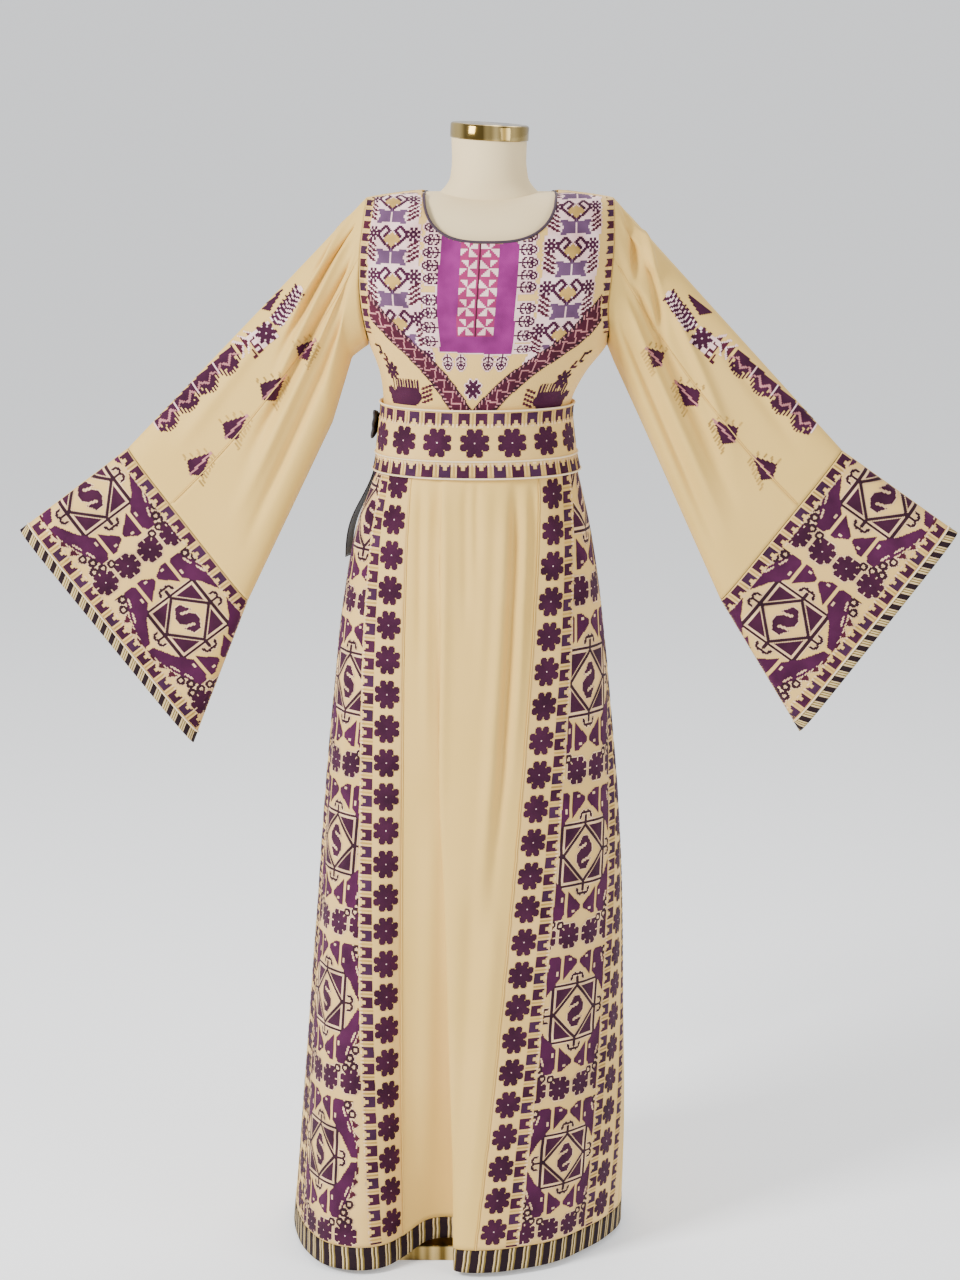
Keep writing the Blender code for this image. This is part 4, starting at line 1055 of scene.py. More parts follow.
def side_stitches(side, grids):
    """Embroidery of a side panel: a strip at each seam and the birds and diamonds between."""
    points, widths, levels = grids["skirt_side_" + side]
    normals = grid_normals(points, 1)
    stitches = Stitches("stitches_side_" + side, "embroidery")
    top, pitch, less = ROSETTE_PLACES[side]
    lowest, rise, more = DIAMOND_PLACES[side]
    away, slope = DIAMOND_AWAY[side]
    rows, columns = points.shape[:2]

    def place(chart, distance, z, shown=True):
        v = (WAIST_Z - z) / SKIRT_HIGH
        i = v / levels[-1] * (rows - 1)
        share = distance / np.interp(v, levels, widths)
        j = (1 - share if side == "left" else share) * (columns - 1)
        there = (z > HEM_Z + HEM_BAND + INSIDE_HEM) & (z < BELT_BOTTOM + UNDER_BELT_EDGE)
        there = there & (share > INSIDE_SIDE) & (share < 1 - INSIDE_SIDE) & shown
        stitches.add(chart, sample(points, i, j), sample(normals, i, j), there)

    def behind(z):
        return away + slope * (z - lowest) + ZONE_BACK

    def column(chart, start, cell):
        """Distances and heights of a column of motifs, in step with the rosettes."""
        x, k = lattice(chart, start, -0.5, cell, ROSETTES / chart.shape[0])
        return x, top - pitch * k + less * k * k

    tile = blank(ROSETTE_CHART, ROSETTE_PITCH)
    stamp(tile, rosette(ROSETTE_CHART), ROSETTE_CHART / 2, ROSETTE_PITCH / 2)
    flags = flag_column(ROSETTES * 2)
    # each strip beside the front seam has its mirror behind the diamonds
    for chart, start, cell in (
        (np.concatenate([tile] * ROSETTES), STRIP_ROSETTE, ROSETTE_CELL),
        (flags, STRIP_FLAG, FLAG_CELL),
    ):
        x, z = column(chart, start, cell)
        place(chart, x, z)
        place(chart, behind(z) + STRIP - x, z)
    x, z = column(flags, 0.0, FLAG_CELL)
    place(flags, behind(z) + STRIP + SECOND_EDGE + x, z)
    repeat = np.concatenate([zone()] * ZONES)
    start = ZONES - 1 + ZONE_MIDDLE / ZONE_HIGH
    cell = ZONE_CELL / ZONE_FINE
    x, k = lattice(repeat, -ZONE_WIDE / 2 * ZONE_CELL, start, cell, -ZONES / repeat.shape[0])
    z = lowest + rise * k + more * k * k
    x = x + behind(z) - ZONE_BACK
    place(repeat, x, z, (x > STRIP) & (x < behind(z)))
    return stitches.make()


def seam_lines(grids):
    """Thin raised seam beside each strip, at the front."""
    made = []
    for side, column in (("left", -1), ("right", 0)):
        points = grids["skirt_side_" + side][0]
        path = points[6:, column] + grid_normals(points, 1)[6:, column] * TRIM_UP
        made.append(tube("seam_" + side, path, SEAM_ROUND, "crepe", "crepe", sides=6))
    return made


def build_hem():
    levels = np.linspace(1.0 - BAND_SHARE + 2 * SEAM / WAIST_Z, 1.0, HEM_ROWS)
    points = []
    for v in levels:
        ring = skirt_ring(v)
        here = np.linspace(0.0, ring[2][-1], HEM_SIDES) + skirt_seams(v, ring)[0]
        points.append(on_ring(ring, v, here))
    points = np.array(points)
    points += grid_normals(points, 1, True) * TRIM_UP
    return cloth("cloth_hem_band", points, 1, "hem stripes", "striped_band", ["hem_band"], TRIM_WALL)


def build_bodice():
    share = np.linspace(-BODICE_EDGE, BODICE_EDGE, BODICE_COLUMNS)
    low = np.linspace(0.0, 1.0, BODICE_LOW_ROWS)
    rise = 1 - (1 - np.linspace(0.0, 1.0, BODICE_HIGH_ROWS)[1:]) ** SHOULDER_CROWD
    high = 1.0 + (BODICE_TOP - 1.0) * rise
    down = np.concatenate([low, high])[::-1]
    a, b = np.meshgrid(share, down)
    made = {}
    for name, surface, facing in (("bodice_front", front_bodice, 1), ("bodice_back", back_bodice, -1)):
        points = surface(a, b)
        made[name] = cloth("cloth_" + name, points, facing, "canvas", "embroidery", [name])
    return made


CHEST_CELL, NEARBY = 0.0022, 0.0005
UNDER_BELT_TOP = 0.012  # the stitches go on this far behind the belt
CHEST_WIDE, CHEST_HIGH = 0.225, 0.400  # half width and height of the chest's chart

SPRIG = (
    "...###.##...",
    ".###.#..##..",
    "##.##.#..#..",
    "#.##########",
    "##.##.#..#..",
    ".###.#..##..",
    "...###.##...",
)
HEART_HOOK = [(0, 8.5), (-10.5, -0.5), (-5.0, -6.2), (-1.8, -3.4), (-5.6, 0.0)]
BOW_WING = [(-10.6, -5.2), (-0.9, -3.8), (-0.9, 4.0), (-10.6, 4.8), (-8.8, 0)]
COLUMN_HIGH = 26
# middle of a shoulder column in metres, and how far it moves to the right for each stitch down
COLUMNS = (((-0.1145, 1.3750), 0.0085 / 0.108), ((0.1225, 1.3600), -0.0065 / 0.108))
# start and end of the slanting bands
CHEVRONS = (((-0.1500, 1.3400), (-0.0190, 1.1930)), ((0.1600, 1.3230), (0.0060, 1.1930)))
CHEVRON_HALF, CHEVRON_EDGE, CHEVRON_BEFORE, CHEVRON_AFTER = 7.2, 2.8, 12, 8
# hatches: how they slant, their pitch and width; zigzag: its pitch, how steep it is, half its width
HATCH_SLANT, HATCH_PITCH, HATCH_WIDE = 0.7, 3.4, 1.25
WAVE_PITCH, WAVE_STEEP, WAVE_HALF = 10.4, 1.35, 0.85
# x at SPRIG_TOP, how far it moves to the left for each metre down, which way it faces, the heights
SPRIG_TOP = 1.44
SPRIGS = (
    (-0.0585, 0.0375, 1, (1.4440, 1.4273, 1.4104, 1.3935, 1.3765, 1.3475, 1.3300, 1.3110, 1.2920)),
    (0.0705, 0.0500, -1, (1.4330, 1.4158, 1.3990, 1.3820, 1.3650, 1.3380, 1.3200, 1.3010, 1.2820)),
)
SPRIG_GROUND = [(-5, -4.5), (8, -4.5), (8, 4.5), (-5, 4.5)]
PLACKET = ((-0.0425, 1.50), (0.0558, 1.50), (0.0462, 1.2750), (-0.0498, 1.2790))
PLACKET_FIELD = ((-0.0175, 1.50), (0.0310, 1.50), (0.0225, 1.2990), (-0.0265, 1.3000))
COMB_BIRD = [
    (-12, 6), (-14, 1), (-16, 1), (-16, -2), (-12, -3), (-9, -1), (-6, -3),
    (9, -3), (12, 0), (12, 3), (8, 6),
]
COMB_BIRD_SIZE = 1.3
# pinwheels: how far each column stands from the middle line, their pitch, half their width and height
WHEEL_OUT, WHEEL_PITCH, WHEEL_HALF_WIDE, WHEEL_HALF_HIGH = 6.2, 12.0, 5.2, 5.3
# flags at the armhole: pitch in metres, width of their band in stitches, share of the pitch that is dark
ARMHOLE_FLAG, ARMHOLE_BAND, ARMHOLE_DARK = 0.0172, 8.5, 0.64
HANGING_SPRIGS, HANGING_Z, LOW_STAR = (-0.0395, -0.0215, 0.0150, 0.0335), 1.2645, (-0.0051, 1.2274)


def column_tile():
    """One repeat of a shoulder column: a heart with curled ends, and a bow between feathers."""
    chart = blank(37, COLUMN_HIGH)
    middle, heart, bow = 18.5, 8.0, 21.0
    chart[:] = PINK
    polygon(chart, moved([(0, -3), (6.2, 2.0), (0, 6.8), (-6.2, 2.0)], middle, heart), OCHRE)
    for way in (1, -1):
        stroke(chart, moved(HEART_HOOK, middle, heart, way), PURPLE, 2.1)
        stamp(chart, star(SMALL_STAR), middle + 14.2 * way, heart - 1)
        polygon(chart, moved(BOW_WING, middle, bow, way), INDIGO)
        for k in range(4):
            y = bow - 7.2 + 3.1 * k
            stroke(chart, moved([(17.8, y - 3.4), (11.8, y + 0.4)], middle, 0, way), WINE, 1.75)
    stroke(chart, [(middle, heart + 8), (middle, bow - 4)], INDIGO, 1.3)
    return chart


def chevron_band(chart, start, end):
    """Slanting band: hatched edges, and triangles parted by a pale zigzag along its middle."""
    x, y = squares(chart)
    dx, dy = end[0] - start[0], end[1] - start[1]
    length = math.hypot(dx, dy)
    along = ((x - start[0]) * dx + (y - start[1]) * dy) / length
    off = ((x - start[0]) * dy - (y - start[1]) * dx) / length
    out = np.abs(off)
    inside = (out < CHEVRON_HALF) & (along > -CHEVRON_BEFORE) & (along < length + CHEVRON_AFTER)
    chart[inside] = WINE
    edge = inside & (out > CHEVRON_HALF - CHEVRON_EDGE)
    chart[edge] = DARK
    hatch = np.mod(along + out * HATCH_SLANT, HATCH_PITCH) < HATCH_WIDE
    chart[edge & hatch & (out < CHEVRON_HALF - 0.7)] = ROSE
    wave = (np.abs(np.mod(along, WAVE_PITCH) - WAVE_PITCH / 2) - WAVE_PITCH / 4) * WAVE_STEEP
    chart[inside & (out < CHEVRON_HALF - 3.0) & (np.abs(off - wave) < WAVE_HALF)] = ROSE


def placket(chart, at):
    """Bright front panel with its pinwheel field, and the sprigs and the star round it."""
    sprig = read_chart(SPRIG, {"#": PURPLE})
    for first_x, slide, way, heights in SPRIGS:
        for z in heights:
            x, y = at(first_x - slide * (SPRIG_TOP - z), z)
            polygon(chart, moved(SPRIG_GROUND, x, y, way), PINK)
            stamp(chart, sprig[:, ::way], x, y)
    inner = [at(*corner) for corner in PLACKET_FIELD]
    polygon(chart, [at(*corner) for corner in PLACKET], MAGENTA)
    polygon(chart, inner, CERISE)
    field_pattern(chart, inner)
    for x in HANGING_SPRIGS:
        stamp(chart, sprig[:, ::-1].T, *at(x, HANGING_Z))
    stamp(chart, star(STAR), *at(*LOW_STAR))


def back_motifs(chart, at):
    """One framed diamond between the shoulder columns, and a row of flowers under it."""
    middle = chart.shape[1] / 2
    tile = blank(70, 82)
    diamond_unit(tile, 35, 41)
    stamp(chart, tile, middle, at(0.0, 1.375)[1])
    for x in ROSETTES_ACROSS:
        stamp(chart, rosette(15), middle + x, at(0.0, 1.27)[1])


def chest_chart(back):
    """Chart of the bodice, seen from outside, its middle column on the centre line."""
    columns, rows = round(2 * CHEST_WIDE / CHEST_CELL), round(CHEST_HIGH / CHEST_CELL)
    chart = blank(columns, rows)

    def at(x, z):
        s, w = chest_place(x, z)
        return (s + CHEST_WIDE) / CHEST_CELL, (CHEST_HIGH - w) / CHEST_CELL

    tile = column_tile()
    for middle, aside in COLUMNS:
        x, y = at(*middle)
        for k in range(-5, 3):
            stamp(chart, tile, x + aside * k * COLUMN_HIGH, y + 5 + k * COLUMN_HIGH)
    if back:
        back_motifs(chart, at)
    else:
        placket(chart, at)
    clear_below_band(chart, at)
    halo(chart, PINK)
    lower_corners(chart, at)
    for start, end in CHEVRONS:
        chevron_band(chart, at(*start), at(*end))
    armhole_flags(chart)
    return chart


def field_pattern(chart, inner):
    """Pinwheels of eight triangles on the placket's inner field, two to a row."""
    x, y = squares(chart)
    mask = blank(chart.shape[1], chart.shape[0])
    polygon(mask, inner, 1)
    (x0, y0), (x1, _), (x2, _), (x3, y3) = inner
    centre = (x0 + x1) / 2 + ((x2 + x3) / 2 - (x0 + x1) / 2) * (y - y0) / (y3 - y0)
    across = np.abs(x - centre) - WHEEL_OUT
    down = np.mod(y3 - y, WHEEL_PITCH) - WHEEL_PITCH / 2
    wheel = np.mod(np.floor(np.arctan2(down, across) / (math.pi / 4)), 2) > 0
    wheel = wheel & (np.abs(across) < WHEEL_HALF_WIDE) & (np.abs(down) < WHEEL_HALF_HIGH)
    chart[(mask > 0) & wheel] = PINK
    chart[(mask > 0) & (np.abs(x - centre) < 0.6)] = WINE


def clear_below_band(chart, at):
    """Takes the column motifs away under the chevron band."""
    x, y = squares(chart)
    for (start, end), way in zip(CHEVRONS, (1, -1)):
        start, end = at(*start), at(*end)
        dx, dy = end[0] - start[0], end[1] - start[1]
        off = ((x - start[0]) * dy - (y - start[1]) * dx) / math.hypot(dx, dy)
        side = x < chart.shape[1] / 2 if way > 0 else x > chart.shape[1] / 2
        under = -off * way > 5.0
        above = y > start[1] - 2
        chart[side & under & above] = 0


def lower_corners(chart, at):
    """Stars, comb-backed birds and curls beside the belt."""
    for x, z, way in ((-0.1181, 1.2544, 1), (0.1210, 1.2440, -1)):
        px, py = at(x, z)
        stamp(chart, star(STAR), px, py + 3)
        stroke(chart, moved([(-10, -16), (-5, -15), (-5, -10), (-8, -9)], px, py, way), DARK, 2.2)
        stroke(chart, moved([(-2, -9), (-1, -5), (-5, -5)], px, py, way), WINE, 2.0)
    for x, z, way in ((-0.0975, 1.2185, 1), (0.1000, 1.2125, -1)):
        px, py = at(x, z)
        size = COMB_BIRD_SIZE * way, COMB_BIRD_SIZE
        polygon(chart, moved(COMB_BIRD, px, py, *size), PURPLE)
        for k in range(10):
            tooth = -9 + 2.1 * k
            stroke(chart, moved([(tooth, -7), (tooth, -2)], px, py, *size), PURPLE, 1.6)
        for k in range(4):
            feather = 2.4 * k
            stroke(chart, moved([(13, feather - 3), (19, feather - 5)], px, py, *size), WINE, 1.6)


def armhole_flags(chart):
    """Small dark flags inside the armholes, with a beige edge."""
    x, y = squares(chart)
    s = (x - chart.shape[1] / 2) * CHEST_CELL
    w = CHEST_HIGH - y * CHEST_CELL
    z = np.interp(w, CHEST_UP, CHEST_Z)
    reach = np.sin(armhole_turn(z)) ** (2 / SQUARENESS)
    edge = np.interp(reach, CHEST_SIN, CHEST_S)
    inside = (edge - np.abs(s)) / CHEST_CELL
    band = (inside > 0) & (inside < ARMHOLE_BAND) & (z > UNDERARM_Z + 0.02)
    chart[band] = 0
    phase = np.mod(w / ARMHOLE_FLAG, 1.0)
    notch = 1.2 + 2.4 * np.abs(phase - ARMHOLE_DARK / 2) / (ARMHOLE_DARK / 2)
    dark = band & (phase < ARMHOLE_DARK) & (inside < 5.2 + notch * 0.8) & (inside > 1.4)
    kind = np.mod(np.floor(w / ARMHOLE_FLAG), 3)
    chart[dark] = np.where(kind[dark] == 0, WINE, np.where(kind[dark] == 1, SLATE, PURPLE))
    chart[band & (phase > 0.72) & (phase < 0.88) & (inside < 5.0)] = BEIGE


def chest_stitches(back):
    way = -1 if back else 1
    chart = chest_chart(back)[:, ::way]
    stitches = Stitches("stitches_bodice_" + ("back" if back else "front"), "embroidery")
    s, w = lattice(chart, -CHEST_WIDE * way, CHEST_HIGH, CHEST_CELL * way, -CHEST_CELL)
    points, there = chest(s, w, back)
    there = there & (points[..., 2] > BELT_TOP - UNDER_BELT_TOP)
    across = chest(s + NEARBY, w, back)[0] - chest(s - NEARBY, w, back)[0]
    up = chest(s, w + NEARBY, back)[0] - chest(s, w - NEARBY, back)[0]
    stitches.add(chart, points, normalised(np.cross(across, up) * way), there)
    return stitches.make()


def neck_binding():
    share = np.linspace(-NECK_HALF, NECK_HALF, 61) * BODICE_EDGE
    top = np.full(61, BODICE_TOP)
    edge = np.concatenate([front_bodice(share, top), back_bodice(share[::-1], top)[1:-1]])
    name = "neck_binding"
    return tube("cloth_" + name, edge, NECK_ROUND, "dark binding", "dark_binding", True, nodes=[name])


# Belt

BELT_SIDES, BELT_ROWS = 241, 13
BELT_ROSETTE, BELT_FLAG, BELT_TILE = 0.0530, 0.0240, 30  # pitches round the belt, and in stitches
BELT_PUFF, RIB_DEEP, RIB_AT, RIB_HALF = 0.0006, 0.0010, 0.80, 0.03
# where the rosettes and the two rows of flags begin below the top edge, and height of a stitch there
BELT_ROSETTES_AT, BELT_FLAGS_AT, ROSETTE_STITCH, FLAG_STITCH = 0.0230, (0.0030, 0.0725), 0.00174, 0.0025
BELT_PIPING, PIPING_OUT = 0.0013, 0.0008


def build_belt():
    turn, v = np.meshgrid(np.linspace(-math.pi, math.pi, BELT_SIDES), np.linspace(0.0, 1.0, BELT_ROWS))
    z = BELT_TOP + (BELT_BOTTOM - BELT_TOP) * v
    points = body(turn, z)
    normals = grid_normals(points, 1, True)
    puff = BELT_PUFF * np.sin(v * math.pi) - RIB_DEEP * np.exp(-(((v - RIB_AT) / RIB_HALF) ** 2))
    outer = points + normals * (BELT_OUT + puff)[..., None]
    belt = cloth("cloth_belt", outer, 1, "canvas", "embroidery", ["belt"], TRIM_WALL)
    normals = grid_normals(outer, 1, True)
    stitches = Stitches("stitches_belt", "embroidery")
    along = distances(outer[6])

    def place(chart, start, pitch):
        """Lays a chart all round the belt, from a height below its top edge."""
        x, y = lattice(chart, 0.0, start, along[-1] / chart.shape[1], pitch)
        i = y / (BELT_TOP - BELT_BOTTOM) * (BELT_ROWS - 1)
        j = np.interp(np.mod(x, along[-1]), along, np.arange(len(along)))
        j = np.where((x > 0.5 * along[-1]) & (j < 1), len(along) - 1, j)
        stitches.add(chart, sample(outer, i, j), sample(normals, i, j), np.ones(x.shape, bool))

    tile = blank(BELT_TILE, ROSETTE_CHART)
    stamp(tile, rosette(ROSETTE_CHART), BELT_TILE / 2, ROSETTE_CHART / 2)
    row = np.concatenate([tile] * round(along[-1] / BELT_ROSETTE), axis=1)
    place(row, BELT_ROSETTES_AT, ROSETTE_STITCH)
    flags = flag_column(round(along[-1] / BELT_FLAG)).T
    for start, chart in zip(BELT_FLAGS_AT, (flags, flags[::-1])):
        place(chart, start, FLAG_STITCH)
    pieces = [stitches.make()]
    for name, row in (("top", 0), ("rib", 9), ("bottom", 12)):
        path = outer[row, :-1] + normals[row, :-1] * PIPING_OUT
        pieces.append(tube("belt_piping_" + name, path, BELT_PIPING, "piping", "embroidery", True))
    return belt, pieces


# Sleeves


def share_to_q(share):
    q = np.linspace(0.0, 1.0, 600)
    return np.sign(share) * np.interp(np.abs(share), ring_share(q), q)


SLEEVE_WIDE, SLEEVE_HIGH = 0.30, 0.42
BACK_WIDER, BACK_ASIDE = 1.15, 0.03  # so that the back's creases don't lie behind the front's


def build_sleeve(side):
    flip = OUTWARD[side]
    down = np.linspace(SLEEVE_START, 1.0 - SEAM / CUFF, 90)

    def grid(q):
        v = np.repeat(down[:, None], q.shape[1], axis=1)
        points = sleeve(side, q, v)
        across = np.where(q > 0, np.abs(q), BACK_WIDER * np.abs(q) + BACK_ASIDE)
        fade = ease(v * 8) * ease((1 - v) * 5)
        smooth = creased(points, -1, across, v, SLEEVE_WIDE, SLEEVE_HIGH, CREASES["sleeve_" + side])
        return points + (smooth - points) * fade[..., None]

    reach = gusset_share(down)[:, None]
    upper = grid(np.linspace(-1.0, 1.0, 97)[::flip] * reach)
    lower = np.linspace(-1.0, 1.0, 61)[::flip] * (1.0 - reach)
    lower = grid(np.mod(lower + 2.0, 2.0) - 1.0)
    made = {"grids": (upper, lower)}
    for name, points in (("sleeve", upper), ("gusset", lower)):
        made[name] = cloth(f"cloth_{name}_{side}", points, -1, "crepe", "crepe", [f"{name}_{side}"])
    lines = (upper + grid_normals(upper, -1) * SEAM)[3:-1]
    made["seams"] = [
        tube(f"gusset_seam_{side}_{name}", lines[:, column], SEAM_ROUND, "crepe", "crepe", sides=6)
        for name, column in (("front", 0 if flip > 0 else -1), ("back", -1 if flip > 0 else 0))
    ]
    return made


def planar(side):
    """Origin and the two directions of the sleeve's own plane: up the sleeve, and down across."""
    top, bottom = np.array(SLEEVES[side][0]), np.array(SLEEVES[side][1])
    down = (bottom - top) / np.linalg.norm(bottom - top)
    up = np.array([down[1], -down[0]])
    return top, up if up[1] > 0 else -up, down


# Kites of the sleeve: middle, along the sleeve and across it, and length
KITES = {
    "left": (
        (0.287, 0.040, 0.034), (0.2176, 0.0546, 0.045), (0.142, 0.066, 0.044), (0.070, 0.077, 0.043),
    ),
    "right": (
        (0.293, 0.057, 0.034), (0.224, 0.0702, 0.045), (0.1504, 0.0785, 0.044), (0.0753, 0.0852, 0.043),
    ),
}
FOLD_SLANT = {"left": -0.100, "right": -0.075}  # how the top fold runs from the cuff's line
SLEEVE_CELL, SLEEVE_LOW = 0.0022, 0.045


STEPS = (
    (0.0, -0.006), (0.038, -0.006), (0.038, 0.008), (0.031, 0.008), (0.031, 0.014), (0.024, 0.014),
    (0.024, 0.019), (0.014, 0.019), (0.014, 0.013), (0.007, 0.013), (0.007, 0.008), (0.0, 0.008),
)
ZIGZAG = ((0.0, 0.010), (0.009, 0.002), (0.019, 0.011), (0.029, 0.002), (0.038, 0.010))
BLADE = ((0.264, -0.018), (0.310, -0.014), (0.276, -0.004))
CURLS = ([(-11, 6), (-8, 6), (-8, 2), (-11, 2), (-11, -2), (-8, -3)], [(-15, 7), (-13, 7), (-13, 3)])


def on_sleeve(along, across):
    """Place in the chart of a sleeve, from metres along it and across it."""
    return along / SLEEVE_CELL, (across + SLEEVE_LOW) / SLEEVE_CELL


def fold_band(chart, by_fold):
    """Stepped band along the fold, with pale zigzags and a comb below it, and triangles next to it."""
    for k in range(4):
        a = 0.052 + 0.0385 * k
        polygon(chart, [by_fold(a + x, y) for x, y in STEPS], PURPLE)
        stroke(chart, [by_fold(a + x, y) for x, y in ZIGZAG], ROSE, 1.3)
        stroke(chart, [by_fold(a, -0.006), by_fold(a, 0.010)], PINK, 1.2)
        for j in range(8):
            b = a + 0.003 + 0.0046 * j
            low = 0.013 + 0.010 * math.sin(math.pi * (j + 0.5) / 8)
            stroke(chart, [by_fold(b, low - 0.006), by_fold(b, low)], PURPLE, 1.2)
    for k in range(3):
        a = 0.209 + 0.0105 * k
        triangle = [by_fold(a, -0.008), by_fold(a + 0.0100, 0.004), by_fold(a, 0.017)]
        polygon(chart, triangle, WINE)
        stroke(chart, triangle, PINK, 1.1)


def star_and_leaf(chart, side, by_fold):
    """Star with its curls on a pale ground, the dark blade, and the leaf."""
    lower = 0.0 if side == "left" else 0.009
    x, y = on_sleeve(0.254, lower - 0.010)
    polygon(chart, moved([(-11, -6), (6, -6), (6, 6), (-11, 6)], x, y), PINK)
    stamp(chart, star(STAR), x, y)
    for curl in CURLS:
        stroke(chart, moved(curl, x, y), WINE, 1.3)
    polygon(chart, [by_fold(*corner) for corner in BLADE], PURPLE)
    x, y = on_sleeve(0.272, lower - 0.015)
    polygon(chart, moved([(-1, -4), (25, -10), (28, -8), (25, -3), (2, 5)], x, y), PINK)
    for k in range(9):
        vein = [(1.6, -4.4), (0, 0), (2.6, 3.4)]
        stroke(chart, moved(vein, x + 2.9 * k, y - 0.8 * k), PURPLE, 1.7)


def kite(chart, along, across, length):
    """Kite with a pale midline and an ochre comb."""
    tip = (along + length * 0.5, across - 0.0035)
    base = (along - length * 0.5, across + 0.0035)
    left = (along - length * 0.30, across - length * 0.35)
    right = (along - length * 0.22, across + length * 0.35)
    for k in range(8):
        t = k / 7
        x = tip[0] + (right[0] - 0.006 - tip[0]) * t
        y = tip[1] + (right[1] - tip[1]) * t
        stroke(chart, [on_sleeve(x, y + 0.003), on_sleeve(x - 0.001, y + 0.011)], OCHRE, 1.1)
        if k % 2:
            x = tip[0] + (left[0] - tip[0]) * t
            y = tip[1] + (left[1] - tip[1]) * t
            stroke(chart, [on_sleeve(x, y - 0.003), on_sleeve(x + 0.001, y - 0.008)], OCHRE, 1.1)
    polygon(chart, [on_sleeve(*corner) for corner in (tip, right, base, left)], PURPLE)
    stroke(chart, [on_sleeve(*tip), on_sleeve(*base)], ROSE, 1.3)


def sleeve_chart(side):
    """Motifs of the sleeve: x along it from the cuff's seam, y across from above its top fold."""
    chart = blank(round(0.36 / SLEEVE_CELL), round(0.165 / SLEEVE_CELL))

    def by_fold(along, across):
        return on_sleeve(along, FOLD_SLANT[side] * along + across)

    fold_band(chart, by_fold)
    star_and_leaf(chart, side, by_fold)
    for row in KITES[side]:
        kite(chart, *row)
    return chart


def sleeve_stitches(side, made):
    """The motifs, laid on the front and the back of the sleeve along the depth."""
    chart = sleeve_chart(side)
    stitches = Stitches("stitches_sleeve_" + side, "crepe")
    corners, faces = [], []
    for points in made["grids"]:
        faces += (quads(*points.shape[:2], 1) + len(corners)).tolist()
        corners += points.reshape(-1, 3).tolist()
    tree = BVHTree.FromPolygons(corners, faces)
    origin, up, down = planar(side)
    along, across = lattice(chart, 0.0, -SLEEVE_LOW, SLEEVE_CELL, SLEEVE_CELL)
    wanted = np.zeros(along.shape, bool)
    filled = chart > 0
    for i, j in ((0, 0), (1, 0), (1, 1), (0, 1)):
        wanted[i : i + chart.shape[0], j : j + chart.shape[1]] |= filled
    for way in (1.0, -1.0):
        places, facings = np.zeros((2, *along.shape, 3))
        there = np.zeros(along.shape, bool)
        for i, j in zip(*np.nonzero(wanted)):
            x, z = origin + up * along[i, j] + down * across[i, j]
            hit, normal, _, _ = tree.ray_cast(Vector((x, -way, z)), Vector((0.0, way, 0.0)))
            if hit is None or hit.y * way > 0.001:
                continue
            normal = normal if normal.y * way < 0 else -normal
            places[i, j], facings[i, j], there[i, j] = hit, normal, abs(normal.y) > 0.15
        stitches.add(chart, places, facings, there)
    return stitches.make()


def build_cuff(side):
    flip = OUTWARD[side]
    q = share_to_q(np.linspace(-1.0, 1.0, 161)[::flip])
    points = sleeve(side, *np.meshgrid(q, np.linspace(1.0 + SEAM / CUFF, 2.0 - SEAM / CUFF, 40)))
    normals = grid_normals(points, -1, True)
    cuff = cloth(f"cloth_cuff_{side}", points, -1, "canvas", "embroidery", [f"cuff_{side}"])
    trim = sleeve(side, *np.meshgrid(q, np.linspace(2.0 + SEAM / CUFF, 2.0 + BINDING / CUFF, 4)))
    trim += grid_normals(trim, -1, True) * TRIM_UP
    name = f"cuff_binding_{side}"
    binding = cloth("cloth_" + name, trim, -1, "cuff stripes", "striped_band", [name], TRIM_WALL)
    edge = points[-1, :-1] + normals[-1, :-1] * 2 * SEAM
    piping = tube(f"cuff_piping_{side}", edge, PIPING_ROUND, "piping", "embroidery", True)
    return {"cuff": cuff, "binding": binding, "on cuff": [cuff_stitches(side, points, normals), piping]}


CUFF_CELL = 0.00243
CUFF_DIAMOND = 0.0205  # the first diamond's middle, from the top fold
CUFF_MIDDLE, CUFF_ZONE = 0.0790, 0.149  # middle and width of the row of diamonds, from the cuff's seam
CUFF_FLAG_CELL = 0.0021


def cuff_stitches(side, points, normals):
    """Birds and diamonds along the cuff between two rows of flags, on its front and back."""
    stitches = Stitches("stitches_cuff_" + side, "embroidery")
    corners = [np.array(c) for c in SLEEVES[side]]
    seam_length = np.linalg.norm(corners[1] - corners[0])
    edge_length = np.linalg.norm(corners[3] - corners[2])
    rows, columns = points.shape[:2]
    repeat = np.concatenate([zone()] * 3)

    def place(chart, s, t, way):
        v = t / CUFF
        length = seam_length + (edge_length - seam_length) * v
        share = s / length
        i = v * (rows - 1)
        j = (way * share * OUTWARD[side] + 1) / 2 * (columns - 1)
        there = (v > 0.006) & (v < 0.992) & (share > 0.0) & (share < 1.0)
        stitches.add(chart, sample(points, i, j), sample(normals, i, j), there)

    flags = flag_column(20)
    cell = CUFF_ZONE / ZONE_WIDE / ZONE_FINE
    top = CUFF_DIAMOND - (ZONE_MIDDLE + ZONE_HIGH) * CUFF_CELL
    for way in (1, -1):
        # the charts are turned so that their rows run down the cuff from the top fold
        t, s = lattice(repeat, CUFF_MIDDLE - CUFF_ZONE / 2, top, cell, CUFF_CELL / ZONE_FINE)
        inner = (t > 0.0165) & (t < 0.1530)
        place(repeat * inner[:-1, :-1], s, t, way)
        for start, first, inward in ((0.0015, 0.003, 1), (CUFF - 0.0025, 0.006, -1)):
            t, s = lattice(flags, start, first, CUFF_FLAG_CELL * inward, FLAG_PITCH / FLAG_HIGH)
            place(flags, s, t, way)
    return stitches.make()


# Bow


LOOP_TURN, TAIL_TURN = 0.13, 0.15  # the body's radius at the bow, which turns lengths into angles
RIBBON_WALL = 0.0012


def off_body(turn, z, out):
    points = body(turn, z)
    away = np.stack([np.sin(turn), -np.cos(turn), np.zeros_like(z)], axis=-1)
    return points + away * out[..., None]


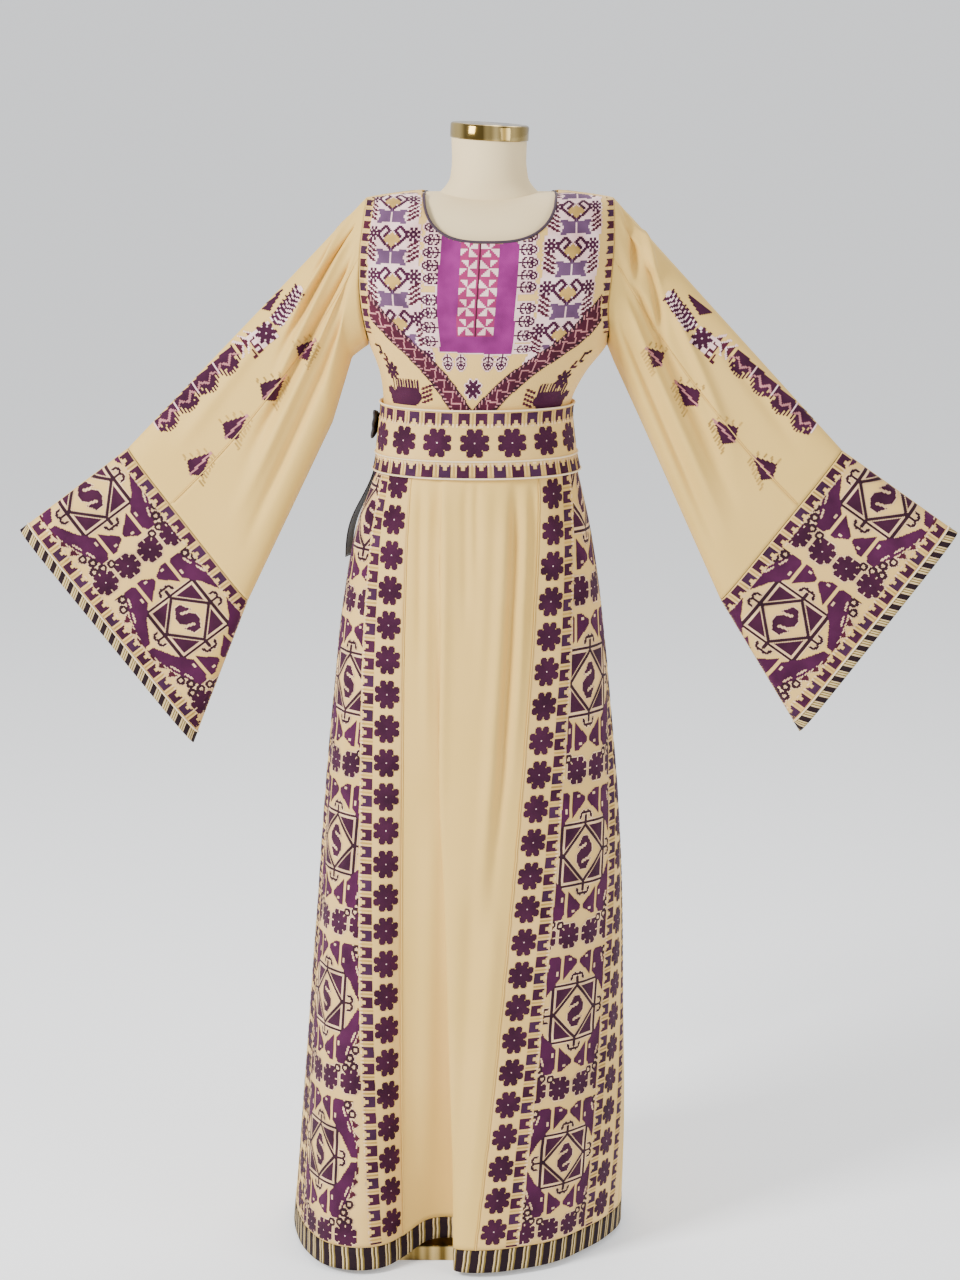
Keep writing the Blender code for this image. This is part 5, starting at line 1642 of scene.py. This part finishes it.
def ribbon_loop(way):
    s, w = np.meshgrid(np.linspace(0.02, 0.98, 49), np.linspace(-1.0, 1.0, 13))
    swing = np.sin(math.pi * s)
    turn = RIBBON_TURN + way * (KNOT_HALF + LOOP_LENGTH * swing**0.8) / LOOP_TURN
    z = RIBBON_Z + w * (RIBBON_PINCH + (RIBBON_HALF - RIBBON_PINCH) * swing)
    out = RIBBON_OUT + LOOP_GAP * s + LOOP_BELLY * swing * (2 * s - 0.6)
    out = out - (BACK_LOOP_IN if way < 0 else 0.0)
    return off_body(turn, z, out + 0.0006 * np.cos(w * 7) * swing)


def ribbon_tail(way, length, swing):
    w, s = np.meshgrid(np.linspace(-1.0, 1.0, 13), np.linspace(0.0, 1.0, 41))
    z = RIBBON_Z - 0.010 - length * s
    half = RIBBON_PINCH + (TAIL_HALF - RIBBON_PINCH) * ease(s * 3)
    turn = RIBBON_TURN + way * 0.060 + swing * ease(s * 1.3) + w * half / TAIL_TURN
    out = RIBBON_OUT + 0.0005 + 0.003 * np.sin(s * 9 + way) * s
    out = out + TAIL_CLEAR * ease((BELT_BOTTOM + 0.01 - z) / 0.1)
    return off_body(turn, z, out)


def build_ribbon():
    made = []
    for way, where, length, swing in (
        (1, "front", TAIL_LENGTHS[1], TAIL_SWINGS[1]),
        (-1, "back", TAIL_LENGTHS[0], TAIL_SWINGS[0]),
    ):
        for name, points, facing in (
            ("loop", ribbon_loop(way), 1),
            ("tail", ribbon_tail(way, length, swing), -1),
        ):
            end = f"{name}_{where}"
            node_names = ["ribbon_" + end]
            made.append(cloth("satin_" + end, points, facing, "satin", "satin", node_names, RIBBON_WALL))
    recolour("ribbon_knot", "satin")
    return made


def recolour(name, material):
    """Gives a node of the frame that stays the material it shows."""
    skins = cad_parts[name].data.materials
    skins.clear()
    skins.append(MATERIALS[material])


# Form and stand


def form_piece(name, rows):
    """Part of the form over rings of points."""
    dress(grid_object(name, np.array(rows), -1, "form"), "form_cloth", ["dress_form"])


def build_torso():
    """Smooth torso, drawn in from the robe by the same air as the solid."""
    around = np.linspace(0.0, 2 * math.pi, 121)
    heights = np.linspace(FORM_BOTTOM, UNDERARM_Z, 40)
    share = np.arcsin(np.abs(np.sin(around)) * (1 - FORM_NARROW)) / armhole_turn(SHOULDER_Z)
    top = SHOULDER_Z - WALL - SHOULDER_AIR - 0.0006
    ridge = top - SHOULDER_DROP * SHOULDER_WIDE * np.clip(share - NECK_HALF, 0.0, 1.0)
    rows = [form_ring(around, np.full(len(around), z), 1.0) for z in heights]
    for angle in np.linspace(0.02, 0.985, 24) * math.pi / 2:
        up, closing = math.sin(angle) ** (2 / CHEST_ROUND), math.cos(angle) ** (2 / CHEST_ROUND)
        rows.append(form_ring(around, UNDERARM_Z + (ridge - UNDERARM_Z) * up, closing))
    last = rows[-1].copy()
    last[:, 1] = 0.0
    rows.append(last)
    form_piece("form_torso", rows)


def build_neck():
    """Neck on its sloping shoulders, its rings tilted to meet the cap."""
    neck_z = np.linspace(NECK[0][0], NECK[-1][0], 40)
    rings = np.array(NECK)
    wide = smooth_curve(neck_z, rings[:, 0], rings[:, 1:])
    turn = np.linspace(0.0, 2 * math.pi, 97)
    places = []
    for z, (across, deep) in zip(neck_z, wide):
        fall = math.tan(CAP_TILT * float(ease((z - NECK[-2][0]) / (NECK[-1][0] - NECK[-2][0]))))
        x = across * np.cos(turn)
        places.append(np.stack([NECK_X + x, NECK_Y + deep * np.sin(turn), z - x * fall], axis=1))
    form_piece("form_neck", places)


def form_ring(turn, z, closing):
    ring = body(turn, z, closing)
    centre = np.stack([lean(z), np.zeros_like(z), z], axis=-1)
    out = ring - centre
    far = np.linalg.norm(out[:, :2], axis=1, keepdims=True)
    air = FORM_AIR + HIP_AIR * ease((BELT_BOTTOM - z)[:, None] / 0.15)
    keep = np.clip((far - WALL - air) / far, 0.05, 1.0)
    narrow = 1.0 - FORM_NARROW * ease((z - NARROW_FROM) / NARROW_HIGH)[:, None]
    drawn = centre + out * keep
    drawn[:, :1] = centre[:, :1] + (drawn[:, :1] - centre[:, :1]) * narrow
    return drawn


def build_metal():
    """Smooth polished cap, and the pole and base in the same gold."""
    low = NECK[-1][0] + SEAM
    profile = (
        (0.0, 0.050), (0.0, CAP_RADIUS - 0.001), (0.0008, CAP_RADIUS), (CAP_HEIGHT - 0.003, CAP_RADIUS),
        (CAP_HEIGHT - 0.0012, CAP_RADIUS - 0.0010), (CAP_HEIGHT - 0.0002, CAP_RADIUS - 0.0030),
        (CAP_HEIGHT, CAP_RADIUS - 0.006), (CAP_HEIGHT, 0.0005),
    )
    turn = np.linspace(0.0, 2 * math.pi, 129)
    rows = []
    for up, radius in profile:
        x, y = radius * np.cos(turn), radius * np.sin(turn)
        tilted = up - CAP_HEIGHT / 2
        place_x = x * math.cos(CAP_TILT) + tilted * math.sin(CAP_TILT)
        place_z = tilted * math.cos(CAP_TILT) - x * math.sin(CAP_TILT)
        place_x, place_z = NECK_X + 2 * SEAM + place_x, low + CAP_HEIGHT / 2 + place_z
        rows.append(np.stack([place_x, NECK_Y + y, place_z], axis=1))
    cap = grid_object("gold_cap", np.array(rows), -1, "gold")
    cap.data.set_sharp_from_angle(angle=math.radians(35))
    dress(cap, "gold_metal", ["neck_cap"])
    for name in ("pole", "base_plate"):
        recolour(name, "gold")


# Stage

FLOOR_SIZE, FLOOR_GLOW, WORLD_LIGHT = 1600.0, 0.32, 0.85
PALE_LIGHT = (0.97, 0.98, 1.0, 1.0)
AIM = Vector((0.0, 0.0, 0.9))
CAMERA_PLACE, CAMERA_DOWN, CAMERA_LENS = (0.004, -4.65, 1.78), math.radians(11.2), 94.67


def build_stage():
    bpy.ops.mesh.primitive_plane_add(size=FLOOR_SIZE, location=(0.0, 0.0, 0.0))
    floor = bpy.context.object
    floor.name = "floor"
    skin, _, shader = new_material("floor", (0.88, 0.89, 0.90), 0.9)
    shader.inputs["Emission Color"].default_value = PALE_LIGHT
    shader.inputs["Emission Strength"].default_value = FLOOR_GLOW
    floor.data.materials.append(skin)
    world = bpy.data.worlds.new("studio")
    bpy.context.scene.world = world
    world.use_nodes = True
    background = world.node_tree.nodes["Background"]
    background.inputs["Strength"].default_value = WORLD_LIGHT
    background.inputs["Color"].default_value = PALE_LIGHT
    for name, place, size, power in (
        ("key", (-3.2, -2.4, 3.0), 1.3, 330.0),
        ("fill", (3.0, -2.6, 2.2), 2.0, 60.0),
        ("top", (0.3, 1.4, 3.6), 2.0, 60.0),
    ):
        light = bpy.data.lights.new(name, "AREA")
        light.size = size
        light.energy = power
        lamp = bpy.data.objects.new(name, light)
        lamp.location = place
        lamp.rotation_euler = (AIM - Vector(place)).to_track_quat("-Z", "Y").to_euler()
        bpy.context.scene.collection.objects.link(lamp)
    camera = bpy.data.cameras.new("camera")
    camera.sensor_fit = "VERTICAL"
    camera.sensor_height = 36.0
    camera.lens = CAMERA_LENS
    eye = bpy.data.objects.new("camera", camera)
    eye.location = CAMERA_PLACE
    eye.rotation_euler = (math.pi / 2 - CAMERA_DOWN, 0.0, 0.0)
    bpy.context.scene.collection.objects.link(eye)
    bpy.context.scene.camera = eye


def main():
    grids, skirts = build_skirt()
    front_seams = seam_lines(grids)
    side_motifs = {side: side_stitches(side, grids) for side in SLEEVES}
    hem = build_hem()
    bodices = build_bodice()
    chest_front, chest_back = chest_stitches(False), chest_stitches(True)
    binding = neck_binding()
    belt, belt_pieces = build_belt()
    sleeves, cuffs, motifs = {}, {}, {}
    for side in SLEEVES:
        sleeves[side] = build_sleeve(side)
        motifs[side] = sleeve_stitches(side, sleeves[side])
        cuffs[side] = build_cuff(side)
    ribbon = build_ribbon()
    build_torso()
    build_neck()
    build_metal()
    build_stage()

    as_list(belt_pieces)


main()
